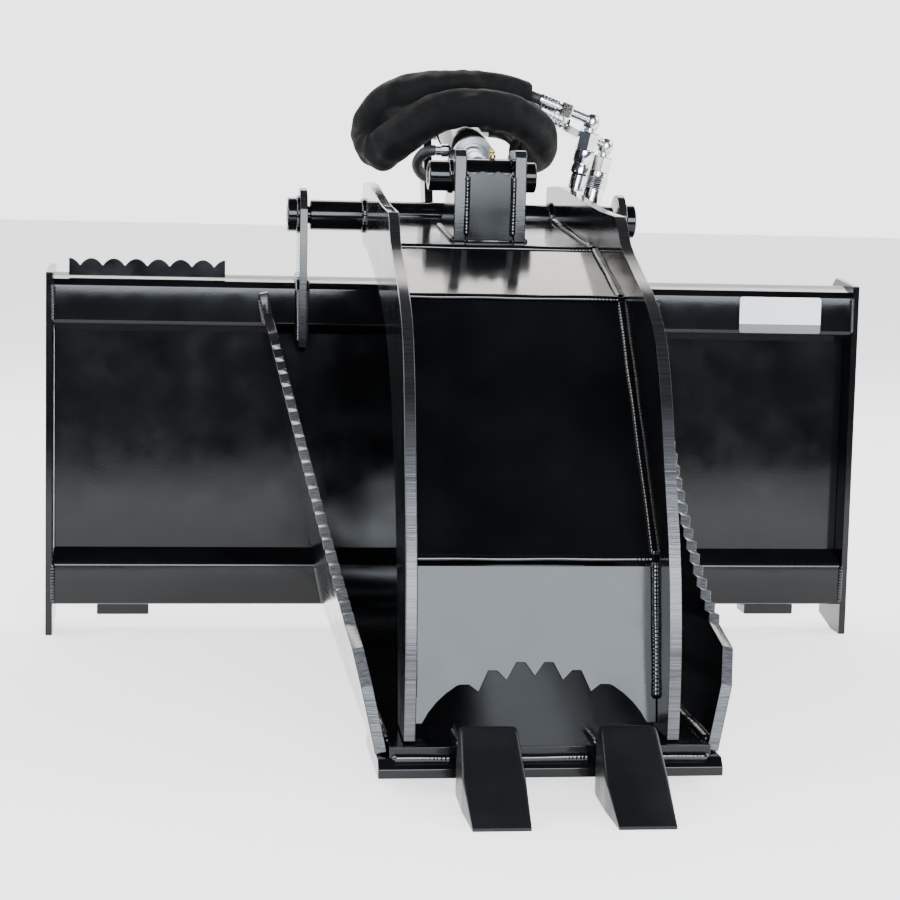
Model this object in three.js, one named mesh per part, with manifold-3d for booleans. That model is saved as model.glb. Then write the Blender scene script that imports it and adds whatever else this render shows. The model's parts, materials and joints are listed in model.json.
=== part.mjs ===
// A stump grapple bucket for a skid steer loader: a narrow trough bucket with two digging
// teeth and a hydraulic lid, welded to a universal quick-attach frame.
// Millimetres. +Z is up, -Y is the digging end, X is across. Inside the assembly group
// y = 0 is the front datum of the quick-attach frame and z = 0 is the ground; the group is
// then moved along Y so that its origin is the middle of the footprint.
import * as THREE from 'three';
import { mergeVertices } from 'three/addons/utils/BufferGeometryUtils.js';
import Module from 'manifold-3d';

const wasm = await Module();
wasm.setup();

// ---------------------------------------------------------------- driving dimensions
const GAP = 0.3; // clearance left between welded or seated pieces
const ROUND = 28; // sides of a round piece

// quick-attach frame
const FRAME_WIDTH = 1143;
const END_THICK = 9.5;
const END_FRONT = -10;
const END_REAR = 94;
const END_HEIGHT = 503;
const SHEET = 8; // bent rails and face panel
const FACE_Y = -8; // front of the rails
const PANEL_FRONT = 28;
const TOP_RAIL = { low: 422, face: 434, top: 487, crest: 503, crestY: 34, lipY: 70, lipZ: 470 };
const LOW_RAIL = { high: 119, face: 102, bottom: 44, flangeY: 70, flangeZ: 30 };
const BEND = 7; // outer bend radius of the rails
const SLOT = { x: FRAME_WIDTH / 2 - 105.5, length: 50, y: 48, width: 24 };
const POCKET = { length: 72, depth: 44, low: 23 };

// trough
const FLOOR_Z = 35; // underside of the floor plate
const PLATE = 12.7; // floor, sides and lid cheeks
const TROUGH_HALF = 184; // outside of a side plate at the floor
const LEAN = THREE.MathUtils.degToRad(12.5);
const FLOOR_FRONT = -835;
const EDGE = { thick: 19, front: FLOOR_FRONT - 8, rear: FLOOR_FRONT + 135, half: TROUGH_HALF - 1, nose: 9 };
const SIDE = { rearTop: 480, tailY: -30, tailZ: 450, midY: -420, midZ: 222, frontY: FLOOR_FRONT + 135, frontZ: 151 };
const SIDE_NOSE = [[FLOOR_FRONT + 60, 139], [FLOOR_FRONT + 29, 104], [FLOOR_FRONT + 19, FLOOR_Z]];
const SERRATION = { pitch: 30, depth: 8, from: 0.06 };
const STEP_GRIP = { from: 30.5 - FRAME_WIDTH / 2, pitch: 30.4, peaks: 6, high: 523, wave: 10, y: 2, thick: 8 };

// teeth
const TOOTH = { x: 73, wide: 65, backWide: 57, tipWide: 59, rear: FLOOR_FRONT - 27, roofY: FLOOR_FRONT - 42, roofZ: 78,
  kinkY: FLOOR_FRONT - 90, kinkZ: 37, tipY: FLOOR_FRONT - 149, tipZ: 3 };
const SHANK = { wide: 46, rear: FLOOR_FRONT + 69, top: FLOOR_Z + PLATE + 9.3, noseY: FLOOR_FRONT - 73, noseHigh: 38,
  noseLow: 16, rootHigh: 56, rootLow: 10, noseWide: 38, fit: 0.6, low: 4 };
const ROLL_PIN = { r: 5, y: FLOOR_FRONT - 47, z: 27 };

// hinge of the lid
const PIVOT = { y: 10, z: 588 };
const PIN_R = 12.6;
const PIVOT_TUBE = { half: 212, r: PIN_R + 8.4, bore: PIN_R + 5.4 };
const BUSH = { length: 30, bore: PIN_R + GAP };
const LUG = { x: PIVOT_TUBE.half + 5, thick: 10.5, r: PIN_R + 24.4, footFront: -30, footLow: 407, rear: 46 };
const BOSS = { r: PIN_R + 11, length: 16 };

// lid
const LID_MAX_OPEN = 45; // degrees, kept here as the stroke of the cylinder follows it
const LID_REAR_HALF = 137; // outside of the cheeks at the hinge
const LID_FRONT_HALF = 147; // and at the tips
const LID_DRIFT = -8; // the tips sit this far off the middle line
const LID_TIP_Y = -822;
const LID_SHEET = 8;
const LID_TIP_Z = FLOOR_Z + PLATE + 2.3; // the closed lid stops just above the floor
const CHEEK_TOP = [[40, 634], [-60, 634], [-180, 622], [-330, 606], [-455, 598]];
const CHEEK_FRONT = [[-475, 583], [-500, 562], [-570, 534], [-645, 505], [-702, 464], [-739, 400],
  [-768, 326], [-803, 240], [-820, 155], [-823, 95], [LID_TIP_Y, LID_TIP_Z]];
const CHEEK_REAR = [[-745, LID_TIP_Z], [-725, 120], [-690, 205], [-640, 290], [-565, 378], [-490, 436],
  [-400, 474], [-300, 502], [-180, 524], [-60, 543], [22, 548]];
const FOLDS = [[-14, 588], [-330, 555], [-508, 502], [-738, 231], [-770, LID_TIP_Z + 6]];
const BITE = { teeth: 5, pitch: 0.1138, low: 88, high: 121, depth: 16 };

// cylinder
const ROD_PIN = { y: -225, z: 644, r: 11 };
const BASE_PIN = { y: 160, z: 722 };
const EYE = { r: PIN_R + 10.4, half: 30.5, slack: 5.4 };
const ROD_R = 14;
const BARREL = { r: ROD_R + 15, bore: ROD_R + 11.4, from: EYE.r + 1, to: 255, cap: 14 };
const GLAND = { from: 232, to: 262, flange: 257 };
const PISTON = { from: 203, to: 229, r: BARREL.bore - GAP };
const LID_EAR = { inner: EYE.half + 0.5, outer: EYE.half + 15.5, front: -272, top: 678, rearY: -110 };
const WEB = { rear: -260, thick: 10, top: 648 };
const BASE_EAR = { inner: EYE.half + 1.5, outer: EYE.half + 13.5, r: PIN_R + 17.4 };
const PORT = { r: 9, reach: 17, front: 215, rear: 60 };

// hoses, in the place where they lie when the bucket is parked
const SLEEVE = { r: 25, wall: 1.6, sides: 12, steps: 22 };
const HOSE = { r: 7.5, sides: 8, steps: 28 };
const SLEEVE_ROUTE = [[88, 64, 678], [106, 36, 682], [110, 4, 696], [92, -26, 717], [50, -45, 733],
  [0, -50, 738], [-50, -44, 727], [-90, -20, 701], [-116, 8, 679], [-130, 33, 690], [-127, 41, 722],
  [-104, 26, 751], [-58, 8, 765], [-6, 2, 769], [42, 8, 765], [86, 16, 757]];
const BASE_HOSE_TAIL = [[62, 103, 709], [76, 99, 704], [86, 84, 692]];
const ROD_HOSE_TAIL = [[-62, -46, 675], [-68, -24, 661], [-56, 4, 646], [-26, 30, 638],
  [14, 50, 636], [52, 72, 642], [78, 80, 658]];
const HOSE_SPREAD = 8.6; // each hose lies this far from the middle of the sleeve
const UPPER_END = { start: [104, 5, 755], elbow: [181, 12, 727], tip: [160, 14, 630] };
const LOWER_END = { start: [106, 30, 740], elbow: [211, 60, 695], tip: [190, 62, 610] };
const LOCK_RING = { r: 17, bore: 15.3, from: 0.41, to: 0.67 };

// ---------------------------------------------------------------- finishes
const finish = (color, roughness, metalness) => new THREE.MeshStandardMaterial({ color, roughness, metalness });
const PAINT = finish(0x0b0b0d, 0.12, 0.1);
const STEEL = finish(0x8d9094, 0.35, 1);
const CHROME = finish(0xd9dcdf, 0.1, 1);
const ZINC = finish(0xc9ccce, 0.28, 1);
const BRASS = finish(0xb8923d, 0.3, 1);
const BRONZE = finish(0x9a6f3a, 0.4, 1);
const RUBBER = finish(0x111112, 0.7, 0);
const CLOTH = finish(0x1b1b1c, 0.95, 0);
const LABEL = finish(0xf2f2f0, 0.4, 0);

// ---------------------------------------------------------------- helpers
const bucket = new THREE.Group();
const halfWidth = FRAME_WIDTH / 2;
const innerEnd = halfWidth - END_THICK - GAP;
const along = (a, b, t) => a + (b - a) * t;

function add(name, geometry, material) {
  const mesh = new THREE.Mesh(geometry, material);
  mesh.name = name;
  bucket.add(mesh);
  return mesh;
}

// Turns a closed geometry the right way out, by the sign of its volume.
function outward(geometry) {
  const flat = geometry.index ? geometry.toNonIndexed() : geometry;
  const p = flat.getAttribute('position');
  const [a, b, c] = [new THREE.Vector3(), new THREE.Vector3(), new THREE.Vector3()];
  let volume = 0;
  for (let i = 0; i < p.count; i += 3) {
    a.fromBufferAttribute(p, i);
    b.fromBufferAttribute(p, i + 1);
    c.fromBufferAttribute(p, i + 2);
    volume += a.dot(b.cross(c));
  }
  if (volume >= 0) return flat;
  const turned = p.array.slice();
  for (let i = 0; i < p.count; i += 3) {
    for (let k = 0; k < 3; k += 1) {
      turned[i * 3 + 3 + k] = p.array[i * 3 + 6 + k];
      turned[i * 3 + 6 + k] = p.array[i * 3 + 3 + k];
    }
  }
  const out = new THREE.BufferGeometry();
  out.setAttribute('position', new THREE.BufferAttribute(turned, 3));
  return out;
}

function toManifold(geometry) {
  const bare = new THREE.BufferGeometry();
  bare.setAttribute('position', outward(geometry).getAttribute('position').clone());
  const merged = mergeVertices(bare, 1e-4);
  return new wasm.Manifold(new wasm.Mesh({
    numProp: 3,
    vertProperties: new Float32Array(merged.getAttribute('position').array),
    triVerts: new Uint32Array(merged.index.array),
  }));
}

function toGeometry(manifold) {
  const mesh = manifold.getMesh();
  const geometry = new THREE.BufferGeometry();
  geometry.setAttribute('position', new THREE.BufferAttribute(mesh.vertProperties, 3));
  geometry.setIndex(new THREE.BufferAttribute(mesh.triVerts, 1));
  return geometry;
}

const cut = (geometry, ...tools) =>
  toGeometry(tools.reduce((solid, tool) => solid.subtract(toManifold(tool)), toManifold(geometry)));
const join = (...pieces) =>
  toGeometry(pieces.slice(1).reduce((solid, piece) => solid.add(toManifold(piece)), toManifold(pieces[0])));

// Carries a profile drawn in (y, z) from x = from to x = to.
const ACROSS = new THREE.Matrix4().makeBasis(
  new THREE.Vector3(0, 1, 0), new THREE.Vector3(0, 0, 1), new THREE.Vector3(1, 0, 0));
function across(profile, from, to) {
  const shape = profile instanceof THREE.Shape ? profile
    : new THREE.Shape(profile.map(([y, z]) => new THREE.Vector2(y, z)));
  const solid = new THREE.ExtrudeGeometry(shape, { depth: to - from, bevelEnabled: false, curveSegments: 10 });
  solid.applyMatrix4(ACROSS);
  solid.translate(from, 0, 0);
  return solid;
}

function box(x0, x1, y0, y1, z0, z1) {
  const solid = new THREE.BoxGeometry(x1 - x0, y1 - y0, z1 - z0);
  solid.translate((x0 + x1) / 2, (y0 + y1) / 2, (z0 + z1) / 2);
  return solid;
}

// A round piece: (radius, distance) pairs turned about the line from a to b.
function turned(profile, a, b, sides = ROUND) {
  const start = new THREE.Vector3(...a);
  const axis = new THREE.Vector3(...b).sub(start).normalize();
  const solid = new THREE.LatheGeometry(profile.map(([r, d]) => new THREE.Vector2(r, d)), sides);
  solid.applyQuaternion(new THREE.Quaternion().setFromUnitVectors(new THREE.Vector3(0, 1, 0), axis));
  solid.translate(start.x, start.y, start.z);
  return outward(solid);
}

const rod = (r, a, b, sides) => {
  const length = new THREE.Vector3(...a).distanceTo(new THREE.Vector3(...b));
  return turned([[0, 0], [r, 0], [r, length], [0, length]], a, b, sides);
};
const ring = (r, bore, a, b, sides) => {
  const length = new THREE.Vector3(...a).distanceTo(new THREE.Vector3(...b));
  return turned([[bore, 0], [r, 0], [r, length], [bore, length], [bore, 0]], a, b, sides);
};

// Rounds the inner corners of an open line of (y, z) points.
function rounded(points, radius, steps = 4) {
  const line = [points[0]];
  for (let i = 1; i < points.length - 1; i += 1) {
    const corner = new THREE.Vector2(...points[i]);
    const before = new THREE.Vector2(...points[i - 1]).sub(corner).normalize();
    const after = new THREE.Vector2(...points[i + 1]).sub(corner).normalize();
    const half = Math.acos(THREE.MathUtils.clamp(before.dot(after), -1, 1)) / 2;
    const back = radius / Math.tan(half);
    const from = corner.clone().addScaledVector(before, back);
    const to = corner.clone().addScaledVector(after, back);
    const bend = new THREE.QuadraticBezierCurve(from, corner, to);
    line.push(...bend.getPoints(steps).map((p) => [p.x, p.y]));
  }
  line.push(points[points.length - 1]);
  return line;
}

// Moves an open line sideways by a distance, to the left of its direction when positive.
function shifted(line, distance) {
  const normal = (p, q) => new THREE.Vector2(p[1] - q[1], q[0] - p[0]).normalize();
  return line.map((point, i) => {
    const before = i > 0 ? normal(line[i - 1], point) : normal(point, line[1]);
    const after = i < line.length - 1 ? normal(point, line[i + 1]) : before;
    const middle = before.clone().add(after).normalize();
    const reach = distance / Math.max(middle.dot(before), 0.3);
    return [point[0] + middle.x * reach, point[1] + middle.y * reach];
  });
}

// The profile of a bent sheet whose outside follows the line.
const bentSheet = (line, thickness) => [...line, ...shifted(line, thickness).reverse()];

// ---------------------------------------------------------------- quick-attach frame
const topRailLine = rounded([
  [PANEL_FRONT - GAP, TOP_RAIL.low], [FACE_Y, TOP_RAIL.face], [FACE_Y, TOP_RAIL.top],
  [FACE_Y + BEND, TOP_RAIL.top + BEND], [TOP_RAIL.crestY, TOP_RAIL.crest], [TOP_RAIL.lipY, TOP_RAIL.lipZ],
], BEND);
const lowRailLine = rounded([
  [PANEL_FRONT - GAP, LOW_RAIL.high], [FACE_Y, LOW_RAIL.face], [FACE_Y, LOW_RAIL.bottom],
  [LOW_RAIL.flangeY, LOW_RAIL.flangeZ],
], BEND);
const flangeUnder = (y) => {
  const corner = [FACE_Y, LOW_RAIL.bottom];
  return along(corner[1], LOW_RAIL.flangeZ, (y - corner[0]) / (LOW_RAIL.flangeY - corner[0]));
};

function slotCutter(side, grow = 0) {
  const half = SLOT.length / 2 + grow;
  return box(side * SLOT.x - half, side * SLOT.x + half,
    SLOT.y - SLOT.width / 2 - grow, SLOT.y + SLOT.width / 2 + grow, 0, LOW_RAIL.face);
}

function buildFacePanel() {
  const low = flangeUnder(PANEL_FRONT) + SHEET + 2;
  const high = TOP_RAIL.top - SHEET;
  return box(-innerEnd, innerEnd, PANEL_FRONT, PANEL_FRONT + SHEET, low, high);
}

function buildRails() {
  const middle = (TOP_RAIL.low + LOW_RAIL.high) / 2;
  const seat = (low, high) => box(-halfWidth, halfWidth, PANEL_FRONT - GAP, PANEL_FRONT + 3 * SHEET, low, high);
  const top = across(bentSheet(topRailLine, -SHEET), -innerEnd, innerEnd);
  add('top_hook_rail', cut(top, seat(middle, TOP_RAIL.face)), PAINT);
  const low = across(bentSheet(lowRailLine, SHEET), -innerEnd, innerEnd);
  add('bottom_rail', cut(low, slotCutter(-1), slotCutter(1), seat(LOW_RAIL.face, middle)), PAINT);
}

function buildPinPocket(side) {
  const rear = SLOT.y + POCKET.depth / 2;
  const front = SLOT.y - POCKET.depth / 2;
  const profile = [[front, POCKET.low], [rear, POCKET.low],
    [rear, flangeUnder(rear) - GAP], [front, flangeUnder(front) - GAP]];
  const x = side * SLOT.x;
  return cut(across(profile, x - POCKET.length / 2, x + POCKET.length / 2), slotCutter(side, 1));
}

function buildEndPlate(side) {
  const outline = [[END_FRONT, 0], [30, 0], [END_REAR, 14], [END_REAR, END_HEIGHT - 1],
    [END_REAR - 16, END_HEIGHT + 9], [END_FRONT, END_HEIGHT]];
  return side < 0 ? across(outline, -halfWidth, -halfWidth + END_THICK)
    : across(outline, halfWidth - END_THICK, halfWidth);
}

function buildStepGrip() {
  const { from, pitch, peaks, high, wave, y, thick } = STEP_GRIP;
  const length = pitch * (peaks + 1);
  const low = TOP_RAIL.crest - 4;
  const shape = new THREE.Shape();
  shape.moveTo(from, low);
  shape.lineTo(from + length, low);
  const steps = 8;
  for (let i = steps * (peaks + 1); i >= 0; i -= 1) {
    const lift = Math.pow(Math.abs(Math.cos(Math.PI * i / steps)), 0.8);
    shape.lineTo(from + i * pitch / steps, high - wave + wave * lift);
  }
  const solid = new THREE.ExtrudeGeometry(shape, { depth: thick, bevelEnabled: false });
  solid.rotateX(Math.PI / 2);
  solid.translate(0, y + thick, 0);
  return solid;
}

function buildDecal() {
  const margin = 1;
  const shape = new THREE.Shape();
  const [w, h, r] = [59, (TOP_RAIL.top - TOP_RAIL.face) / 2 - margin, 4];
  shape.moveTo(-w + r, -h);
  shape.lineTo(w - r, -h);
  shape.quadraticCurveTo(w, -h, w, -h + r);
  shape.lineTo(w, h - r);
  shape.quadraticCurveTo(w, h, w - r, h);
  shape.lineTo(-w + r, h);
  shape.quadraticCurveTo(-w, h, -w, h - r);
  shape.lineTo(-w, -h + r);
  shape.quadraticCurveTo(-w, -h, -w + r, -h);
  const solid = new THREE.ExtrudeGeometry(shape, { depth: 0.8, bevelEnabled: false, curveSegments: 4 });
  solid.rotateX(Math.PI / 2);
  solid.translate(halfWidth - 114.5, FACE_Y - GAP, (TOP_RAIL.top + TOP_RAIL.face) / 2);
  return solid;
}

add('face_panel', buildFacePanel(), PAINT);
buildRails();
for (const [side, name] of [[-1, 'left'], [1, 'right']]) {
  add(`${name}_end_plate`, buildEndPlate(side), PAINT);
  add(`${name}_pin_pocket`, buildPinPocket(side), PAINT);
}
add('step_grip', buildStepGrip(), PAINT);
add('blank_decal', buildDecal(), LABEL);

// ---------------------------------------------------------------- trough
const topEdge = new THREE.QuadraticBezierCurve(
  new THREE.Vector2(SIDE.tailY, SIDE.tailZ), new THREE.Vector2(SIDE.midY, SIDE.midZ),
  new THREE.Vector2(SIDE.frontY, SIDE.frontZ));

// The top edge of a side plate is burned into saw teeth for grip on roots and stumps.
function serratedEdge() {
  const count = Math.floor(topEdge.getLength() * (1 - SERRATION.from) / SERRATION.pitch);
  const points = [];
  for (let i = 0; i < count; i += 1) {
    const t = along(SERRATION.from, 1, i / count);
    const p = topEdge.getPointAt(t);
    const tangent = topEdge.getTangentAt(t);
    points.push([p.x, p.y]);
    const crest = topEdge.getPointAt(along(SERRATION.from, 1, (i + 0.82) / count));
    points.push([crest.x - tangent.y * SERRATION.depth, crest.y + Math.abs(tangent.x) * SERRATION.depth]);
  }
  return points;
}

const slope = (z) => (z - FLOOR_Z) / Math.cos(LEAN); // height measured up the leaning plate

function sideOutline() {
  const notch = [[FACE_Y - GAP, LOW_RAIL.face + 18], [PANEL_FRONT - GAP, LOW_RAIL.high + 20],
    [PANEL_FRONT - GAP, TOP_RAIL.low - 20], [FACE_Y - GAP, TOP_RAIL.low - 4],
    [FACE_Y - GAP, SIDE.rearTop - 8], [FACE_Y - 8, SIDE.rearTop], [FACE_Y - 14, SIDE.rearTop - 2]];
  return [[FACE_Y - GAP, FLOOR_Z], ...notch, [SIDE.tailY, SIDE.tailZ], ...serratedEdge(),
    [SIDE.frontY, SIDE.frontZ], ...SIDE_NOSE].map(([y, z]) => [y, slope(z)]);
}

function buildSidePlate(side) {
  const solid = side > 0 ? across(sideOutline(), -PLATE, 0) : across(sideOutline(), 0, PLATE);
  solid.rotateY(side * LEAN);
  solid.translate(side * TROUGH_HALF, 0, FLOOR_Z);
  return solid;
}

function buildFloor() {
  const half = TROUGH_HALF - PLATE / Math.cos(LEAN) - GAP;
  return box(-half, half, FLOOR_FRONT, FACE_Y - GAP, FLOOR_Z, FLOOR_Z + PLATE);
}

function buildCuttingEdge() {
  const high = FLOOR_Z - GAP;
  const low = high - EDGE.thick;
  return across([[EDGE.front, low], [EDGE.rear, low], [EDGE.rear, high],
    [EDGE.front + EDGE.nose, high], [EDGE.front, high - EDGE.nose]], -EDGE.half, EDGE.half);
}

function buildShank(side) {
  const deck = FLOOR_Z + PLATE + GAP;
  const joint = TOOTH.rear + GAP;
  const saddle = [[SHANK.rear, deck], [SHANK.rear, SHANK.top - 5], [SHANK.rear - 6, SHANK.top],
    [joint, SHANK.top], [joint, SHANK.low], [EDGE.front - GAP, SHANK.low], [EDGE.front - GAP, FLOOR_Z],
    [FLOOR_FRONT - GAP, FLOOR_Z + GAP], [FLOOR_FRONT - GAP, deck]];
  const nose = [[joint + 4, SHANK.rootHigh - 1], [SHANK.noseY, SHANK.noseHigh], [SHANK.noseY, SHANK.noseLow],
    [joint + 4, SHANK.rootLow]];
  const x = side * TOOTH.x;
  const solid = join(across(saddle, x - SHANK.wide / 2, x + SHANK.wide / 2),
    across(nose, x - SHANK.noseWide / 2, x + SHANK.noseWide / 2));
  return cut(solid, rollPin(side, ROLL_PIN.r + GAP));
}

const rollPin = (side, r, reach = TOOTH.wide / 2 + 2) =>
  rod(r, [side * TOOTH.x - reach, ROLL_PIN.y, ROLL_PIN.z], [side * TOOTH.x + reach, ROLL_PIN.y, ROLL_PIN.z], 16);

// A boxy casting that rises steeply behind the blade and narrows a little towards its back.
function buildTooth(side) {
  const { rear, roofY, roofZ, kinkY, kinkZ, tipY, tipZ, wide, backWide, tipWide } = TOOTH;
  const body = across([[rear, 0], [rear, roofZ - 6], [rear - 5, roofZ], [roofY, roofZ], [kinkY, kinkZ],
    [tipY, tipZ], [tipY, 0]], -0.5, 0.5);
  const p = body.getAttribute('position');
  for (let i = 0; i < p.count; i += 1) {
    const [y, z] = [p.getY(i), p.getZ(i)];
    const width = z > kinkZ ? along(wide, backWide, (z - kinkZ) / (roofZ - kinkZ))
      : along(wide, tipWide, Math.max(0, (kinkY - y) / (kinkY - tipY)));
    p.setX(i, side * TOOTH.x + p.getX(i) * width);
  }
  const fit = SHANK.fit;
  const socket = across([[rear + 1, SHANK.rootHigh + fit], [SHANK.noseY - fit, SHANK.noseHigh + fit],
    [SHANK.noseY - fit, SHANK.noseLow - fit], [rear + 1, SHANK.rootLow - fit]],
  side * TOOTH.x - SHANK.noseWide / 2 - fit, side * TOOTH.x + SHANK.noseWide / 2 + fit);
  return cut(body, socket, rollPin(side, ROLL_PIN.r + GAP, wide));
}

add('floor_plate', buildFloor(), PAINT);
add('cutting_edge', buildCuttingEdge(), PAINT);
for (const [side, name] of [[-1, 'left'], [1, 'right']]) {
  add(`${name}_side_plate`, buildSidePlate(side), PAINT);
  add(`${name}_tooth_shank`, buildShank(side), PAINT);
  add(`${name}_tooth`, buildTooth(side), PAINT);
  add(`${name}_tooth_pin`, rollPin(side, ROLL_PIN.r, TOOTH.wide / 2 - 3), STEEL);
}

// ---------------------------------------------------------------- hinge of the lid
const atPivot = (x) => [x, PIVOT.y, PIVOT.z];

function buildLug(side) {
  const roof = shifted(topRailLine, GAP).filter(([, z]) => z > TOP_RAIL.top - 20);
  const seat = roof.filter(([y]) => y < LUG.rear);
  const shape = new THREE.Shape();
  shape.moveTo(LUG.footFront, LUG.footLow);
  shape.lineTo(FACE_Y - GAP, LUG.footLow - 8);
  seat.forEach(([y, z]) => shape.lineTo(y, z));
  shape.lineTo(LUG.rear + 14, seat[seat.length - 1][1] + 6);
  shape.lineTo(PIVOT.y + LUG.r, PIVOT.z);
  shape.absarc(PIVOT.y, PIVOT.z, LUG.r, 0, Math.PI, false);
  shape.closePath();
  const hole = new THREE.Path();
  hole.absarc(PIVOT.y, PIVOT.z, PIN_R + GAP, 0, 2 * Math.PI, true);
  shape.holes.push(hole);
  return side > 0 ? across(shape, LUG.x, LUG.x + LUG.thick) : across(shape, -LUG.x - LUG.thick, -LUG.x);
}

for (const [side, name] of [[-1, 'left'], [1, 'right']]) {
  const outside = side * (LUG.x + LUG.thick + GAP);
  add(`${name}_hinge_lug`, buildLug(side), PAINT);
  add(`${name}_lug_boss`, ring(BOSS.r, PIN_R + GAP, atPivot(outside), atPivot(outside + side * BOSS.length)), PAINT);
  const end = side * (PIVOT_TUBE.half - 1);
  add(`${name}_hinge_bush`, ring(PIVOT_TUBE.bore - GAP, BUSH.bore, atPivot(end), atPivot(end - side * BUSH.length)), BRONZE);
}
const pinReach = LUG.x + LUG.thick + BOSS.length - 2;
add('hinge_pin', rod(PIN_R, atPivot(-pinReach), atPivot(pinReach)), PAINT);
add('hinge_tube', ring(PIVOT_TUBE.r, PIVOT_TUBE.bore, atPivot(-PIVOT_TUBE.half), atPivot(PIVOT_TUBE.half)), PAINT);

// ---------------------------------------------------------------- lid
const lidShare = (y) => (PIVOT.y - y) / (PIVOT.y - LID_TIP_Y);
const lidHalf = (y) => along(LID_REAR_HALF, LID_FRONT_HALF, lidShare(y));
const lidMiddle = (y) => LID_DRIFT * lidShare(y);

// The lid tapers a little, so its flat pieces are drawn straight and then spread by x.
function spread(solid, place) {
  const p = solid.getAttribute('position');
  for (let i = 0; i < p.count; i += 1) p.setX(i, place(p.getX(i), p.getY(i)));
  return solid;
}

function buildCheek(side) {
  const shape = new THREE.Shape();
  const vector = ([y, z]) => new THREE.Vector2(y, z);
  shape.moveTo(...CHEEK_TOP[0]);
  shape.splineThru(CHEEK_TOP.slice(1).map(vector));
  shape.splineThru(CHEEK_FRONT.map(vector));
  shape.lineTo(...CHEEK_REAR[0]);
  shape.splineThru(CHEEK_REAR.slice(1).map(vector));
  shape.quadraticCurveTo(PIVOT.y + 40, PIVOT.z - 38, PIVOT.y + 42, PIVOT.z);
  shape.closePath();
  const outline = shape.getPoints(2).map((p) => [p.x, p.y]);
  const plate = spread(across(outline, 0, 1), (x, y) =>
    lidMiddle(y) + side * lidHalf(y) - side * PLATE * (side > 0 ? 1 - x : x));
  return cut(plate, rod(PIVOT_TUBE.r + GAP, atPivot(-halfWidth), atPivot(halfWidth)));
}

function panelSlab(from, to, trimFrom = GAP, trimTo = GAP) {
  const [a, b] = [new THREE.Vector2(...from), new THREE.Vector2(...to)];
  const run = b.clone().sub(a).normalize();
  const inward = new THREE.Vector2(-run.y, run.x).multiplyScalar(LID_SHEET);
  a.addScaledVector(run, trimFrom);
  b.addScaledVector(run, -trimTo);
  const corners = [a, b, b.clone().add(inward), a.clone().add(inward)].map((p) => [p.x, p.y]);
  return spread(across(corners, -1, 1), (x, y) => lidMiddle(y) + x * (lidHalf(y) - PLATE - GAP));
}

// The lower edge of the nose is burned out in teeth that grip against the two bucket teeth.
function buildNose() {
  const slab = panelSlab(FOLDS[3], FOLDS[4], LID_SHEET, 0);
  const half = lidHalf(LID_TIP_Y) - PLATE;
  const middle = lidMiddle(FOLDS[4][0]);
  const { teeth, pitch, low, high, depth } = BITE;
  const bite = new THREE.Shape();
  const foot = FOLDS[4][1];
  const arch = (i) => along(low, high, Math.sin(Math.PI * (i + 0.5) / (teeth + 1)));
  bite.moveTo(-half * 0.91, foot - 20);
  bite.lineTo(-half * 0.91, foot);
  bite.quadraticCurveTo(-half * 0.82, foot + 24, -half * 0.63, arch(0) - 1);
  for (let i = 0; i <= teeth; i += 1) {
    const x = half * 2 * pitch * (i - teeth / 2);
    bite.lineTo(x - half * pitch * 0.3, arch(i));
    bite.lineTo(x + half * pitch * 0.3, arch(i));
    if (i < teeth) bite.lineTo(x + half * pitch, arch(i + 0.5) - depth);
  }
  bite.lineTo(half * 0.63, arch(0) - 1);
  bite.quadraticCurveTo(half * 0.82, foot + 24, half * 0.91, foot);
  bite.lineTo(half * 0.91, foot - 20);
  const tool = new THREE.ExtrudeGeometry(bite, { depth: 200, bevelEnabled: false, curveSegments: 4 });
  tool.rotateX(Math.PI / 2);
  tool.translate(middle, FOLDS[4][0] + 100, 0);
  return cut(slab, tool);
}

const tubeFront = PIVOT_TUBE.r + GAP + 3;
add('left_lid_cheek', buildCheek(-1), PAINT);
add('right_lid_cheek', buildCheek(1), PAINT);
add('lid_rear_panel', panelSlab([PIVOT.y - tubeFront, FOLDS[0][1]], FOLDS[1]), PAINT);
add('lid_top_panel', panelSlab(FOLDS[1], FOLDS[2], 2, GAP), PAINT);
add('lid_front_panel', panelSlab(FOLDS[2], FOLDS[3], 5, GAP), PAINT);
add('lid_nose_panel', buildNose(), PAINT);

// ---------------------------------------------------------------- cylinder bracket on the lid
const lidRoof = (y) => along(FOLDS[0][1], FOLDS[1][1], (y - PIVOT.y + tubeFront) / (FOLDS[1][0] - PIVOT.y + tubeFront));
const atRodPin = (x) => [x, ROD_PIN.y, ROD_PIN.z];

function buildLidEar(side) {
  const { inner, outer, front, top, rearY } = LID_EAR;
  const shape = new THREE.Shape();
  shape.moveTo(front, lidRoof(front) + GAP);
  shape.lineTo(rearY, lidRoof(rearY) + GAP);
  shape.quadraticCurveTo(rearY - 60, lidRoof(rearY) + 20, ROD_PIN.y + 34, ROD_PIN.z);
  shape.quadraticCurveTo(ROD_PIN.y + 30, top, ROD_PIN.y, top);
  shape.lineTo(front + 14, top);
  shape.quadraticCurveTo(front, top, front, top - 14);
  shape.closePath();
  const hole = new THREE.Path();
  hole.absarc(ROD_PIN.y, ROD_PIN.z, ROD_PIN.r + GAP, 0, 2 * Math.PI, true);
  shape.holes.push(hole);
  return side > 0 ? across(shape, inner, outer) : across(shape, -outer, -inner);
}

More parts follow.
